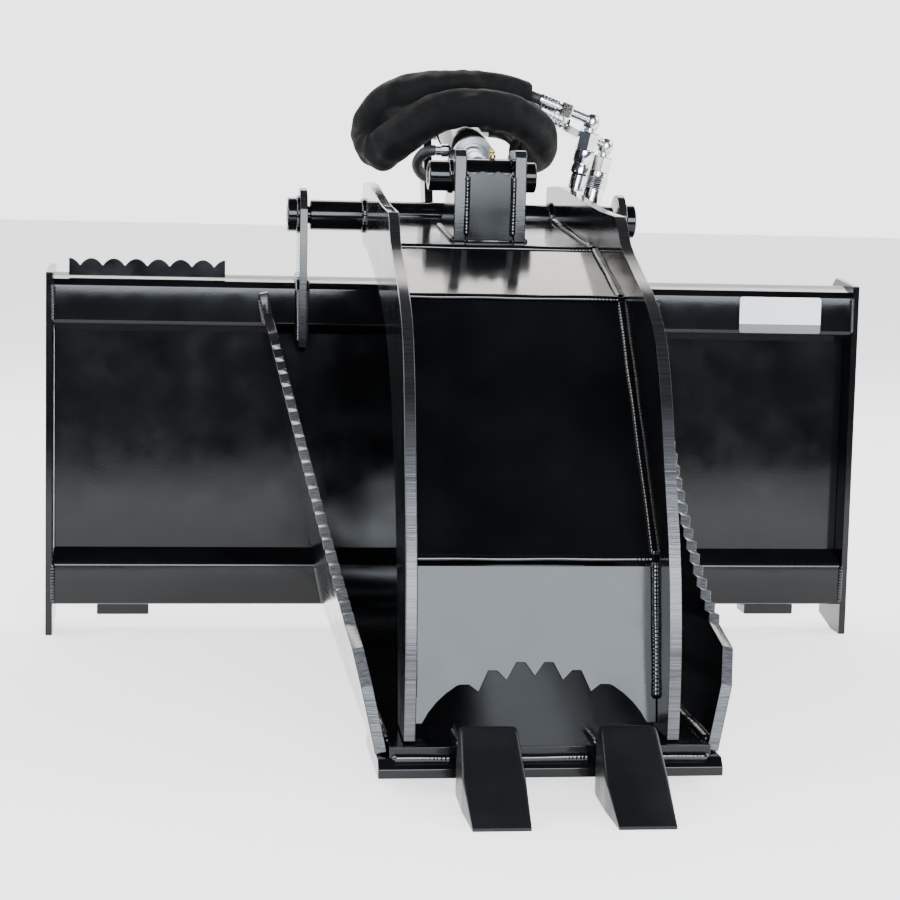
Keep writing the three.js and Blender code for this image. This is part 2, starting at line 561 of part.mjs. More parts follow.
function buildWeb() {
  const half = LID_EAR.inner - GAP;
  const low = lidRoof(WEB.rear - WEB.thick) + 1.5;
  const shape = new THREE.Shape();
  shape.moveTo(-half, low);
  shape.lineTo(half, low);
  const waves = 24;
  for (let i = waves; i >= 0; i -= 1) {
    shape.lineTo(along(-half, half, i / waves), WEB.top + 2.5 * Math.cos(3 * 2 * Math.PI * i / waves));
  }
  const solid = new THREE.ExtrudeGeometry(shape, { depth: WEB.thick, bevelEnabled: false });
  solid.rotateX(Math.PI / 2);
  solid.translate(0, WEB.rear, 0);
  return solid;
}

add('left_lid_ear', buildLidEar(-1), PAINT);
add('right_lid_ear', buildLidEar(1), PAINT);
add('lid_ear_web', buildWeb(), PAINT);
add('rod_pin', rod(ROD_PIN.r, atRodPin(-73), atRodPin(62)), STEEL);
add('left_rod_pin_collar', ring(19.5, ROD_PIN.r + GAP, atRodPin(-LID_EAR.outer - GAP), atRodPin(-75)), PAINT);
add('right_rod_pin_collar', ring(19.5, ROD_PIN.r + GAP, atRodPin(LID_EAR.outer + GAP), atRodPin(64)), PAINT);

// ---------------------------------------------------------------- cylinder bracket on the frame
const atBasePin = (x) => [x, BASE_PIN.y, BASE_PIN.z];

function buildBaseEar(side) {
  const seat = shifted(topRailLine, GAP).filter(([y, z]) => z > TOP_RAIL.top && y > 4 && y < 60);
  const shape = new THREE.Shape();
  shape.moveTo(24, TOP_RAIL.crest + 20);
  seat.forEach(([y, z]) => shape.lineTo(y, z));
  shape.lineTo(86, 520);
  shape.quadraticCurveTo(150, 610, BASE_PIN.y + BASE_EAR.r, BASE_PIN.z);
  shape.absarc(BASE_PIN.y, BASE_PIN.z, BASE_EAR.r, 0, Math.PI, false);
  shape.quadraticCurveTo(96, 620, 60, 560);
  shape.closePath();
  const hole = new THREE.Path();
  hole.absarc(BASE_PIN.y, BASE_PIN.z, PIN_R + GAP, 0, 2 * Math.PI, true);
  shape.holes.push(hole);
  const { inner, outer } = BASE_EAR;
  return side > 0 ? across(shape, inner, outer) : across(shape, -outer, -inner);
}

add('left_base_ear', buildBaseEar(-1), PAINT);
add('right_base_ear', buildBaseEar(1), PAINT);
add('base_pin', rod(PIN_R, atBasePin(-56), atBasePin(56)), STEEL);

// ---------------------------------------------------------------- hydraulic cylinder
const strut = new THREE.Vector2(ROD_PIN.y - BASE_PIN.y, ROD_PIN.z - BASE_PIN.z);
const strutLength = strut.length();
strut.normalize();
const onStrut = (s, x = 0) => [x, BASE_PIN.y + strut.x * s, BASE_PIN.z + strut.y * s];

add('cylinder_base_eye', ring(EYE.r, PIN_R + GAP, atBasePin(-EYE.half), atBasePin(EYE.half)), PAINT);
add('cylinder_barrel', turned([[0, 0], [BARREL.r, 0], [BARREL.r, BARREL.to - BARREL.from],
  [BARREL.bore, BARREL.to - BARREL.from], [BARREL.bore, BARREL.cap], [0, BARREL.cap]],
onStrut(BARREL.from), onStrut(BARREL.to)), PAINT);
add('cylinder_gland', turned([[ROD_R + GAP, 0], [BARREL.bore - GAP, 0],
  [BARREL.bore - GAP, BARREL.to - GLAND.from + GAP], [BARREL.r, BARREL.to - GLAND.from + GAP],
  [BARREL.r, GLAND.to - GLAND.from], [ROD_R + GAP, GLAND.to - GLAND.from], [ROD_R + GAP, 0]],
onStrut(GLAND.from), onStrut(GLAND.to)), STEEL);
add('piston', ring(PISTON.r, ROD_R + GAP, onStrut(PISTON.from), onStrut(PISTON.to)), STEEL);
add('piston_rod', rod(ROD_R, onStrut(PISTON.from - 5), onStrut(strutLength - EYE.r - GAP)), CHROME);
add('rod_eye', ring(EYE.r, ROD_PIN.r + EYE.slack, atRodPin(-EYE.half + 1), atRodPin(EYE.half - 1)), PAINT);
const nippleX = 8;
add('rod_eye_grease_nipple', turned([[0, 0], [3, 0], [3, 5], [4.5, 5], [4.5, 8], [2, 9], [3, 12], [0, 13]],
  [nippleX, ROD_PIN.y, ROD_PIN.z + EYE.r + GAP], [nippleX, ROD_PIN.y, ROD_PIN.z + EYE.r + 20], 12), BRASS);

for (const [name, side, s] of [['base_port_fitting', 1, PORT.rear], ['rod_port_fitting', -1, PORT.front]]) {
  add(name, turned([[0, 0], [PORT.r, 0], [PORT.r, 9], [PORT.r - 2, 9], [PORT.r - 2, PORT.reach], [0, PORT.reach]],
    onStrut(s, side * (BARREL.r + GAP)), onStrut(s, side * (BARREL.r + 40)), 12), ZINC);
}

// ---------------------------------------------------------------- hoses and couplers
const curveOf = (points) => new THREE.CatmullRomCurve3(points.map((p) => new THREE.Vector3(...p)), false, 'centripetal');
const sleeveCurve = curveOf(SLEEVE_ROUTE);

function polygon(r, sides, Kind = THREE.Shape) {
  const shape = new Kind();
  for (let i = 0; i < sides; i += 1) {
    const a = 2 * Math.PI * i / sides;
    if (i === 0) shape.moveTo(r * Math.cos(a), r * Math.sin(a));
    else shape.lineTo(r * Math.cos(a), r * Math.sin(a));
  }
  shape.closePath();
  return shape;
}

function swept(shape, curve, steps) {
  return outward(new THREE.ExtrudeGeometry(shape, { steps, bevelEnabled: false, extrudePath: curve }));
}

function buildSleeve() {
  const shape = polygon(SLEEVE.r, SLEEVE.sides);
  shape.holes.push(polygon(SLEEVE.r - SLEEVE.wall, SLEEVE.sides, THREE.Path));
  return swept(shape, sleeveCurve, SLEEVE.steps);
}

// Sideways directions along the sleeve, turned evenly so that a hose enters above its
// neighbour and leaves on the side of its own fitting.
function sidewaysAlong(count) {
  const frames = sleeveCurve.computeFrenetFrames(count, false);
  const angle = (i, wanted) => Math.atan2(wanted.dot(frames.binormals[i]), wanted.dot(frames.normals[i]));
  const apart = new THREE.Vector3(...UPPER_END.start).sub(new THREE.Vector3(...LOWER_END.start));
  const first = angle(0, new THREE.Vector3(0, 0, 1));
  const turn = angle(count, apart) - first;
  const short = Math.atan2(Math.sin(turn), Math.cos(turn));
  return (i) => {
    const a = first + short * i / count;
    return frames.normals[i].clone().multiplyScalar(Math.cos(a)).addScaledVector(frames.binormals[i], Math.sin(a));
  };
}

// A hose leaves its port, runs through the sleeve beside the other one and ends at a crimped fitting.
function hoseCurve(port, tail, offset, end) {
  const count = 16;
  const sideways = sidewaysAlong(count);
  const inside = [];
  for (let i = 0; i <= count; i += 1) {
    inside.push(sleeveCurve.getPointAt(i / count).addScaledVector(sideways(i), offset).toArray());
  }
  const start = new THREE.Vector3(...end.start);
  const back = start.clone().sub(new THREE.Vector3(...end.elbow)).setLength(6).add(start);
  const outOfPort = [port[0] + Math.sign(port[0]) * 5, port[1], port[2]];
  return curveOf([port, outOfPort, ...tail, ...inside, back.toArray(), end.start]);
}

const buildHose = (...route) => swept(polygon(HOSE.r, HOSE.sides), hoseCurve(...route), HOSE.steps);

// Crimped ferrule, nut and the elbow that turns the line down to the coupler.
function buildHoseEnd(end) {
  const start = new THREE.Vector3(...end.start);
  const elbow = new THREE.Vector3(...end.elbow);
  const tip = new THREE.Vector3(...end.tip);
  const run = elbow.distanceTo(start);
  const first = start.clone().addScaledVector(elbow.clone().sub(start).normalize(), GAP);
  const stem = turned([[0, 0], [9, 0], [9.5, 3], [9.5, run * 0.3], [7, run * 0.34], [7, run * 0.4], [10.5, run * 0.4],
    [10.5, run * 0.56], [8, run * 0.6], [8, run], [0, run]], first.toArray(), elbow.toArray(), 12);
  const down = tip.clone().sub(elbow).normalize();
  const knee = turned([[0, -11], [8, -10], [11.5, -5], [11.5, 12], [0, 12]], elbow.toArray(), tip.toArray(), 12);
  const neckEnd = elbow.clone().addScaledVector(down, 16);
  return join(stem, knee, rod(8, elbow.toArray(), neckEnd.toArray(), 12));
}

function couplerAxis(end) {
  const elbow = new THREE.Vector3(...end.elbow);
  const tip = new THREE.Vector3(...end.tip);
  const down = tip.clone().sub(elbow).normalize();
  const start = elbow.clone().addScaledVector(down, 16 + GAP);
  return { start, length: start.distanceTo(tip), down, point: (d) => start.clone().addScaledVector(down, d).toArray() };
}

// Flat-faced coupler halves: a hexagon at the hose end, then the body and its nose.
function buildPlugHalf(end) {
  const { length, point } = couplerAxis(end);
  const hexagon = rod(15.5, point(0), point(length * 0.36), 6);
  const body = turned([[0, 0], [14, 0], [14, length * 0.36], [12.5, length * 0.38], [11, length * 0.4],
    [11, length * 0.62], [0, length * 0.64]], point(length * 0.36 - 1), point(length), 20);
  return join(hexagon, body);
}

function buildSocketHalf(end) {
  const { length, point } = couplerAxis(end);
  const hexagon = rod(15.5, point(0), point(length * 0.3), 6);
  const body = rod(LOCK_RING.bore - GAP, point(length * 0.3 - 1), point(length), 20);
  return join(hexagon, body);
}

add('hose_sleeve', buildSleeve(), CLOTH);
const portEnd = (side, s) => onStrut(s, side * (BARREL.r + PORT.reach + 2 * GAP));
add('base_side_hose', buildHose(portEnd(1, PORT.rear), BASE_HOSE_TAIL, HOSE_SPREAD, UPPER_END), RUBBER);
add('rod_side_hose', buildHose(portEnd(-1, PORT.front), ROD_HOSE_TAIL, -HOSE_SPREAD, LOWER_END), RUBBER);
add('upper_hose_end', buildHoseEnd(UPPER_END), ZINC);
add('lower_hose_end', buildHoseEnd(LOWER_END), ZINC);
add('plug_coupler', buildPlugHalf(UPPER_END), CHROME);
add('socket_coupler', buildSocketHalf(LOWER_END), CHROME);
const socket = couplerAxis(LOWER_END);
add('coupler_lock_ring', ring(LOCK_RING.r, LOCK_RING.bore, socket.point(socket.length * LOCK_RING.from),
  socket.point(socket.length * LOCK_RING.to), 20), ZINC);

bucket.position.y = -(TOOTH.tipY + BASE_PIN.y + BASE_EAR.r) / 2;

export default bucket;
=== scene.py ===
# %% [markdown]
# # A stump grapple bucket for a skid steer loader
#
# This lesson finishes a welded attachment: a narrow trough bucket with two digging teeth and a
# hydraulic lid, on the universal quick-attach frame that every skid steer loader can pick up.
# The engineering model gives the plates, pins and joints. Here we add what makes it look like
# a real weldment: softened plate edges, beads of weld, cast teeth, a woven hose sleeve, crimped
# fittings, turned couplers and gloss black powder coat.

# %%
import json
import math

import bmesh
import bpy
import numpy as np
from mathutils import Matrix, Vector


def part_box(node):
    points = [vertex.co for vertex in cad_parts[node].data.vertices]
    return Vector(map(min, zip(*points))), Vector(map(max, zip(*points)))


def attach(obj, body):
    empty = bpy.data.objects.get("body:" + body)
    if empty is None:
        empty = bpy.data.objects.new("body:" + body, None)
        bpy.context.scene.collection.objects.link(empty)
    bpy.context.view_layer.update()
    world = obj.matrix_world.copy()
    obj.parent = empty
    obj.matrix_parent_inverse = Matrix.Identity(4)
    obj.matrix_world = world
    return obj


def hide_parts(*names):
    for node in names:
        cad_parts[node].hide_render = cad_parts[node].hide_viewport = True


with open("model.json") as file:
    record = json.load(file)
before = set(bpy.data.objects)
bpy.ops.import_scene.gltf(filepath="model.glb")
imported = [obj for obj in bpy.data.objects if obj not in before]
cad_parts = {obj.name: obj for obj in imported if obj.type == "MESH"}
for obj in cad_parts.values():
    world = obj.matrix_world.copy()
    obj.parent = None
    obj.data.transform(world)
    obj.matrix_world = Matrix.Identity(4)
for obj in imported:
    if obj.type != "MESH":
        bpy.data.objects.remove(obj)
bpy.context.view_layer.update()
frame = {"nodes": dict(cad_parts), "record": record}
nodes = frame["nodes"]

# %% [markdown]
# ## Measuring on the workshop's datum
#
# The fabricator measures from the front of the quick-attach frame and from the ground, in
# millimetres. The model's origin is the middle of the footprint, so a point is moved along Y
# and turned into metres before it is used.

# %%
DATUM = 397.0


def at(x, y, z):
    """A point of the workshop drawing, in metres in the model's frame."""
    return np.array([x, y + DATUM, z], float) / 1000.0


def points(rows):
    """Rows of workshop points as an (n, 3) array in metres."""
    return (np.asarray(rows, float) + [0.0, DATUM, 0.0]) / 1000.0


# %% [markdown]
# ## Mesh tools
#
# Three shapes cover nearly everything: a surface of revolution for turned pieces, a section
# carried along a path for hoses and weld, and a loft of rounded rectangles for castings. Each is
# one grid of vertices, worked out in one numpy expression.

# %%
def mesh_object(name, vertices, faces, material, body, slot, smooth=35.0, replaces=()):
    """A new piece from arrays, smooth-shaded up to an angle in degrees, riding on a body."""
    mesh = bpy.data.meshes.new(name)
    mesh.from_pydata([tuple(v) for v in np.asarray(vertices)], [], [tuple(f) for f in faces])
    work = bmesh.new()
    work.from_mesh(mesh)
    bmesh.ops.remove_doubles(work, verts=work.verts, dist=1e-6)
    bmesh.ops.recalc_face_normals(work, faces=work.faces)
    work.to_mesh(mesh)
    work.free()
    mesh.shade_smooth()
    mesh.set_sharp_from_angle(angle=math.radians(smooth))
    mesh.materials.append(material)
    piece = bpy.data.objects.new(name, mesh)
    bpy.context.scene.collection.objects.link(piece)
    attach(piece, body)
    if replaces:
        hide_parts(*([replaces] if isinstance(replaces, str) else replaces))
    return piece


def grid_faces(rows, columns, wrap_rows=False, caps=True):
    """Quads of a grid whose columns close on themselves; the ends are capped unless rows wrap."""
    i = np.arange(rows if wrap_rows else rows - 1)[:, None]
    j = np.arange(columns)[None, :]
    a = i * columns + j
    b = i * columns + (j + 1) % columns
    c = ((i + 1) % rows) * columns + (j + 1) % columns
    d = ((i + 1) % rows) * columns + j
    faces = np.stack([a, b, c, d], -1).reshape(-1, 4).tolist()
    if caps and not wrap_rows:
        faces.append(list(range(columns))[::-1])
        faces.append(list(range((rows - 1) * columns, rows * columns)))
    return faces


def frame_of(axis):
    """Two unit vectors square to an axis."""
    axis = np.asarray(axis, float) / np.linalg.norm(axis)
    start = np.array([0.0, 0.0, 1.0]) if abs(axis[2]) < 0.9 else np.array([1.0, 0.0, 0.0])
    first = np.cross(start, axis)
    first /= np.linalg.norm(first)
    return axis, first, np.cross(axis, first)


def turned(name, profile, a, b, material, body, slot, sides=96, ring=False, flats=0, **more):
    """Turns (radius, distance) pairs in mm about the line from a to b.

    Vertex (i, j) = a + axis * d_i + r_i * k(t_j) * (e1 cos t_j + e2 sin t_j), where k is 1 for a
    round piece and cos(pi/n) / cos(t mod 2pi/n - pi/n) for one with n flats.
    """
    a, b = np.asarray(a, float), np.asarray(b, float)
    axis, e1, e2 = frame_of(b - a)
    r, d = np.asarray(profile, float).T / 1000.0
    t = np.linspace(0, 2 * np.pi, sides, endpoint=False)
    k = np.ones_like(t)
    if flats:
        part = 2 * np.pi / flats
        k = np.cos(part / 2) / np.cos(np.mod(t, part) - part / 2)
    round_about = (k * np.cos(t))[:, None] * e1 + (k * np.sin(t))[:, None] * e2
    grid = a + axis * d[:, None, None] + r[:, None, None] * round_about[None]
    faces = grid_faces(len(r), sides, wrap_rows=ring)
    return mesh_object(name, grid.reshape(-1, 3), faces, material, body, slot, **more)


def path_frames(path):
    """Tangents and two side vectors that turn as little as possible along a path."""
    tangent = np.gradient(path, axis=0)
    tangent /= np.linalg.norm(tangent, axis=1)[:, None]
    side = frame_of(tangent[0])[1]
    sides = [side]
    for t in tangent[1:]:
        side = side - t * np.dot(side, t)
        side = side / np.linalg.norm(side)
        sides.append(side)
    sides = np.array(sides)
    return tangent, sides, np.cross(tangent, sides)


def spline(rows, count):
    """Centripetal Catmull-Rom curve through points, as count points evenly spaced along it."""
    p = np.asarray(rows, float)
    p = np.vstack([2 * p[0] - p[1], p, 2 * p[-1] - p[-2]])
    step = np.sqrt(np.linalg.norm(np.diff(p, axis=0), axis=1))
    knots = np.concatenate([[0.0], np.cumsum(step)])
    u = np.linspace(0, 1, 40, endpoint=False)
    found = []
    for i in range(1, len(p) - 2):
        t0, t1, t2, t3 = knots[i - 1:i + 3]
        t = (t1 + u * (t2 - t1))[:, None]
        a1 = (t1 - t) / (t1 - t0) * p[i - 1] + (t - t0) / (t1 - t0) * p[i]
        a2 = (t2 - t) / (t2 - t1) * p[i] + (t - t1) / (t2 - t1) * p[i + 1]
        a3 = (t3 - t) / (t3 - t2) * p[i + 1] + (t - t2) / (t3 - t2) * p[i + 2]
        b1 = (t2 - t) / (t2 - t0) * a1 + (t - t0) / (t2 - t0) * a2
        b2 = (t3 - t) / (t3 - t1) * a2 + (t - t1) / (t3 - t1) * a3
        found.append((t2 - t) / (t2 - t1) * b1 + (t - t1) / (t2 - t1) * b2)
    dense = np.vstack(found + [p[-2:-1]])
    run = np.concatenate([[0.0], np.cumsum(np.linalg.norm(np.diff(dense, axis=0), axis=1))])
    wanted = np.linspace(0, run[-1], count)
    return np.stack([np.interp(wanted, run, dense[:, k]) for k in range(3)], 1)


def run_length(path):
    return float(np.linalg.norm(np.diff(path, axis=0), axis=1).sum())


# %% [markdown]
# ## Finishes
#
# Every finish is procedural. Powder coat is nearly black and glossy, with a fine orange peel
# and the slow waves of hot rolled plate under it. Where a plate was burned out with a plasma torch
# its edge keeps fine drag lines through the paint. On those edges the lines are also painted a
# lighter grey, strongest low down, as a painted highlight that makes the coat there sparkle.

# %%
class Shader:
    """A small helper that adds nodes to one material and links them."""

    def __init__(self, name):
        self.material = bpy.data.materials.new(name)
        self.material.use_nodes = True
        self.tree = self.material.node_tree
        self.base = self.tree.nodes["Principled BSDF"]
        self.where = self.add("ShaderNodeTexCoord").outputs["Object"]

    def add(self, kind, **settings):
        made = self.tree.nodes.new(kind)
        for key, value in settings.items():
            setattr(made, key, value)
        return made

    def link(self, source, target):
        self.tree.links.new(source, target)

    def value(self, socket, value):
        self.base.inputs[socket].default_value = value

    def stretch(self, scale, source=None):
        mapping = self.add("ShaderNodeMapping")
        mapping.inputs["Scale"].default_value = scale
        self.link(source or self.where, mapping.inputs["Vector"])
        return mapping.outputs["Vector"]

    def noise(self, scale, detail=3.0, vector=None):
        made = self.add("ShaderNodeTexNoise")
        made.inputs["Scale"].default_value = scale
        made.inputs["Detail"].default_value = detail
        self.link(vector or self.where, made.inputs["Vector"])
        return made.outputs["Fac"]

    def ramp(self, source, low, high, start=0.3, end=0.7):
        made = self.add("ShaderNodeMapRange")
        made.inputs["From Min"].default_value = start
        made.inputs["From Max"].default_value = end
        made.inputs["To Min"].default_value = low
        made.inputs["To Max"].default_value = high
        self.link(source, made.inputs["Value"])
        return made.outputs["Result"]

    def mix(self, factor, first, second):
        made = self.add("ShaderNodeMix", data_type="RGBA")
        made.inputs["A"].default_value = (*first, 1.0)
        made.inputs["B"].default_value = (*second, 1.0)
        self.link(factor, made.inputs["Factor"])
        return made.outputs["Result"]

    def blend(self, factor, source, second):
        made = self.add("ShaderNodeMix", data_type="RGBA")
        self.link(source, made.inputs["A"])
        made.inputs["B"].default_value = (*second, 1.0)
        self.link(factor, made.inputs["Factor"])
        return made.outputs["Result"]

    def times(self, first, second):
        made = self.add("ShaderNodeMath", operation="MULTIPLY")
        self.link(first, made.inputs[0])
        self.link(second, made.inputs[1])
        return made.outputs["Value"]

    def bump(self, height, strength, distance, normal=None):
        made = self.add("ShaderNodeBump")
        made.inputs["Strength"].default_value = strength
        made.inputs["Distance"].default_value = distance
        self.link(height, made.inputs["Height"])
        if normal is not None:
            self.link(normal, made.inputs["Normal"])
        return made.outputs["Normal"]


def powder_coat(name, roughness=(0.07, 0.15), peel=0.05, waves=0.1, drag=0.0, ior=1.36, lift=1.0):
    """Black powder coat; lift lightens its colour and drag is the depth of the lines on a burned edge, and also
    lays a painted highlight along those lines.
    """
    s = Shader(name)
    tone = s.ramp(s.noise(9.0), 0.0, 1.0)
    dark, light = np.array([0.0022, 0.0023, 0.0027]) * lift, np.array([0.0055, 0.0057, 0.0065]) * lift
    colour = s.mix(tone, dark, light)
    s.link(s.ramp(s.noise(23.0, 5.0), *roughness), s.base.inputs["Roughness"])
    s.value("IOR", ior)
    normal = s.bump(s.noise(3.6, 1.0), waves, 0.02)
    normal = s.bump(s.noise(520.0, 2.0), peel, 0.0006, normal)
    if drag:
        lines = s.noise(1.0, 3.0, s.stretch((12.0, 800.0, 800.0)))
        facing = s.add("ShaderNodeSeparateXYZ")
        s.link(s.add("ShaderNodeNewGeometry").outputs["True Normal"], facing.inputs["Vector"])
        on_edge = s.add("ShaderNodeMath", operation="ABSOLUTE")
        s.link(facing.outputs["X"], on_edge.inputs[0])
        mask = s.ramp(on_edge.outputs["Value"], 1.0, 0.0, 0.3, 0.6)
        place = s.add("ShaderNodeSeparateXYZ")
        s.link(s.where, place.inputs["Vector"])
        # Weight for edge faces, full below 0.3 m and mostly off above 0.4 m: it sets the drag lines' depth and the
        # painted highlight's strength.
        low = s.times(mask, s.ramp(place.outputs["Z"], 1.0, 0.12, 0.3, 0.4))
        normal = s.bump(s.times(lines, low), drag, 0.0007, normal)
        # Painted highlight: the drag lines are painted a lighter grey, strongest low down, standing in for the
        # front light those edges catch.
        colour = s.blend(s.times(s.ramp(lines, 0.4, 1.0, 0.35, 0.65), low), colour, (0.11, 0.113, 0.118))
    s.link(colour, s.base.inputs["Base Color"])
    s.link(normal, s.base.inputs["Normal"])
    return s.material


def metal(name, dark, light, roughness, scratch=(40.0, 40.0, 900.0), strength=0.12):
    s = Shader(name)
    s.value("Metallic", 1.0)
    grain = s.noise(1.0, 4.0, s.stretch(scratch))
    s.link(s.mix(s.ramp(s.noise(60.0), 0.0, 1.0), dark, light), s.base.inputs["Base Color"])
    s.link(s.ramp(grain, *roughness), s.base.inputs["Roughness"])
    s.link(s.bump(grain, strength, 0.0002), s.base.inputs["Normal"])
    return s.material


def hose_rubber(name):
    s = Shader(name)
    s.link(s.mix(s.ramp(s.noise(120.0), 0, 1), (0.010, 0.010, 0.011), (0.022, 0.022, 0.023)),
           s.base.inputs["Base Color"])
    s.link(s.ramp(s.noise(300.0), 0.42, 0.6), s.base.inputs["Roughness"])
    s.link(s.bump(s.noise(900.0), 0.2, 0.0003), s.base.inputs["Normal"])
    return s.material


def woven_cloth(name):
    """Coarse nylon weave: two crossed waves laid out on the sleeve's own UV."""
    s = Shader(name)
    uv = s.add("ShaderNodeTexCoord").outputs["UV"]
    heights = []
    for direction in ("X", "Y"):
        wave = s.add("ShaderNodeTexWave", wave_type="BANDS", bands_direction=direction)
        wave.inputs["Scale"].default_value = 1.0
        wave.inputs["Distortion"].default_value = 0.6
        s.link(s.stretch((150.0, 22.0, 1.0), uv), wave.inputs["Vector"])
        heights.append(wave.outputs["Fac"])
    weave = s.times(*heights)
    # Colour follows the weave's height: the hollows between the threads are painted shade, darker than the crests.
    s.link(s.mix(weave, (0.0016, 0.0016, 0.0018), (0.008, 0.008, 0.009)), s.base.inputs["Base Color"])
    s.link(s.ramp(s.noise(60.0), 0.55, 0.8), s.base.inputs["Roughness"])
    s.value("Specular IOR Level", 0.15)
    s.value("Sheen Weight", 0.01)
    s.value("Sheen Roughness", 0.4)
    s.link(s.bump(weave, 0.7, 0.0009), s.base.inputs["Normal"])
    return s.material


def film(name):
    """A white decal with a plain grey band along its foot."""
    s = Shader(name)
    split = s.add("ShaderNodeSeparateXYZ")
    s.link(s.where, split.inputs["Vector"])
    low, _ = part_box("blank_decal")
    band = s.ramp(split.outputs["Z"], 1.0, 0.0, low[2] + 0.0125, low[2] + 0.0127)
    s.link(s.mix(band, (0.83, 0.83, 0.81), (0.16, 0.16, 0.165)), s.base.inputs["Base Color"])
    s.link(s.ramp(s.noise(400.0), 0.25, 0.4), s.base.inputs["Roughness"])
    return s.material


FINISH = {
    "black_paint": powder_coat("powder_coat_black"),
    "bare_steel": metal("steel_machined", (0.36, 0.36, 0.37), (0.5, 0.5, 0.51), (0.28, 0.45)),
    "chrome_rod": metal("chrome_ground", (0.66, 0.67, 0.68), (0.78, 0.79, 0.8), (0.05, 0.11), strength=0.03),
    "zinc_plate": metal("zinc_bright", (0.55, 0.56, 0.57), (0.7, 0.71, 0.72), (0.18, 0.32)),
    "bright_plate": metal("nickel_bright", (0.6, 0.6, 0.61), (0.76, 0.76, 0.77), (0.1, 0.2), strength=0.06),
    "brass": metal("brass_turned", (0.55, 0.38, 0.12), (0.68, 0.49, 0.18), (0.2, 0.35)),
    "bronze": metal("bronze_bearing", (0.4, 0.26, 0.11), (0.5, 0.33, 0.15), (0.3, 0.5)),
    "woven_sleeve": woven_cloth("nylon_weave"),
    "hose_rubber": hose_rubber("rubber_hose"),
    "decal_film": film("decal_white"),
}
# Coat for burned edges: deeper drag lines with a painted highlight along them.
BURNED = powder_coat("powder_coat_on_burned_edge_with_painted_highlight", drag=0.28, ior=1.42)
CAST = powder_coat("powder_coat_on_casting", roughness=(0.26, 0.4), peel=0.3, waves=0.15, lift=1.6)
WELD = powder_coat("powder_coat_on_weld", roughness=(0.05, 0.12), peel=0.1, waves=0.0, ior=1.6)

slot_of = {row["node"]: row["material_slot"] for row in frame["record"]["subparts"]}
BURNED_NODES = {"left_lid_cheek", "right_lid_cheek", "left_side_plate", "right_side_plate", "left_lid_ear",
                "right_lid_ear", "left_base_ear", "right_base_ear", "left_hinge_lug", "right_hinge_lug"}
for name, piece in nodes.items():
    piece.data.materials.clear()
    piece.data.materials.append(BURNED if name in BURNED_NODES else FINISH[slot_of[name]])
print("finishes", len(FINISH) + 3)

# %% [markdown]
# ## The camera and the room
#
# The camera stands three metres in front of the bucket at the height of the hinge, a little
# to one side, with a long lens. The floor is pale and plain. Black gloss paint shows only what it
# reflects, so the room matters: a wide bright wall behind, a long soft box low in front for the
# upright nose panel, and a dim ceiling that leaves the sloping front panel dark.

# %%
def set_camera():
    data = bpy.data.cameras.new("camera")
    data.lens, data.sensor_width = 88.48, 36.0
    data.clip_end = 100.0
    camera = bpy.data.objects.new("camera", data)
    bpy.context.scene.collection.objects.link(camera)
    right = Vector((0.99235, -0.12131, 0.02277)).normalized()
    ahead = Vector((0.12312, 0.98585, -0.11379)).normalized()
    up = right.cross(ahead).normalized()
    turn = Matrix((right, up, -ahead)).transposed()
    camera.matrix_world = Matrix.Translation(Vector(at(-394.10, -3072.77, 617.44))) @ turn.to_4x4()
    bpy.context.scene.camera = camera


def set_floor():
    mesh = bpy.data.meshes.new("floor")
    half, front, back = 30.0, -1.35, 40.0
    corners = [(-half, front, 0), (half, front, 0), (half, back, 0), (-half, back, 0)]
    mesh.from_pydata(corners, [], [(0, 1, 2, 3)])
    floor = bpy.data.objects.new("floor", mesh)
    bpy.context.scene.collection.objects.link(floor)
    s = Shader("floor_pale")
    pale = s.mix(s.ramp(s.noise(0.6), 0, 1), (0.92, 0.92, 0.92), (0.95, 0.95, 0.95))
    s.link(pale, s.base.inputs["Base Color"])
    s.value("Roughness", 0.9)
    s.value("Specular IOR Level", 0.1)
    s.value("Emission Color", (1.0, 1.0, 1.0, 1.0))
    s.value("Emission Strength", 1.6)
    mesh.materials.append(s.material)


def soft_box(name, place, target, width, height, power, colour=(1.0, 1.0, 1.0)):
    data = bpy.data.lights.new(name, "AREA")
    data.shape = "RECTANGLE"
    data.size, data.size_y = width, height
    data.energy = power
    data.color = colour
    lamp = bpy.data.objects.new(name, data)
    bpy.context.scene.collection.objects.link(lamp)
    lamp.location = place
    lamp.rotation_euler = (Vector(target) - Vector(place)).to_track_quat("-Z", "Y").to_euler()


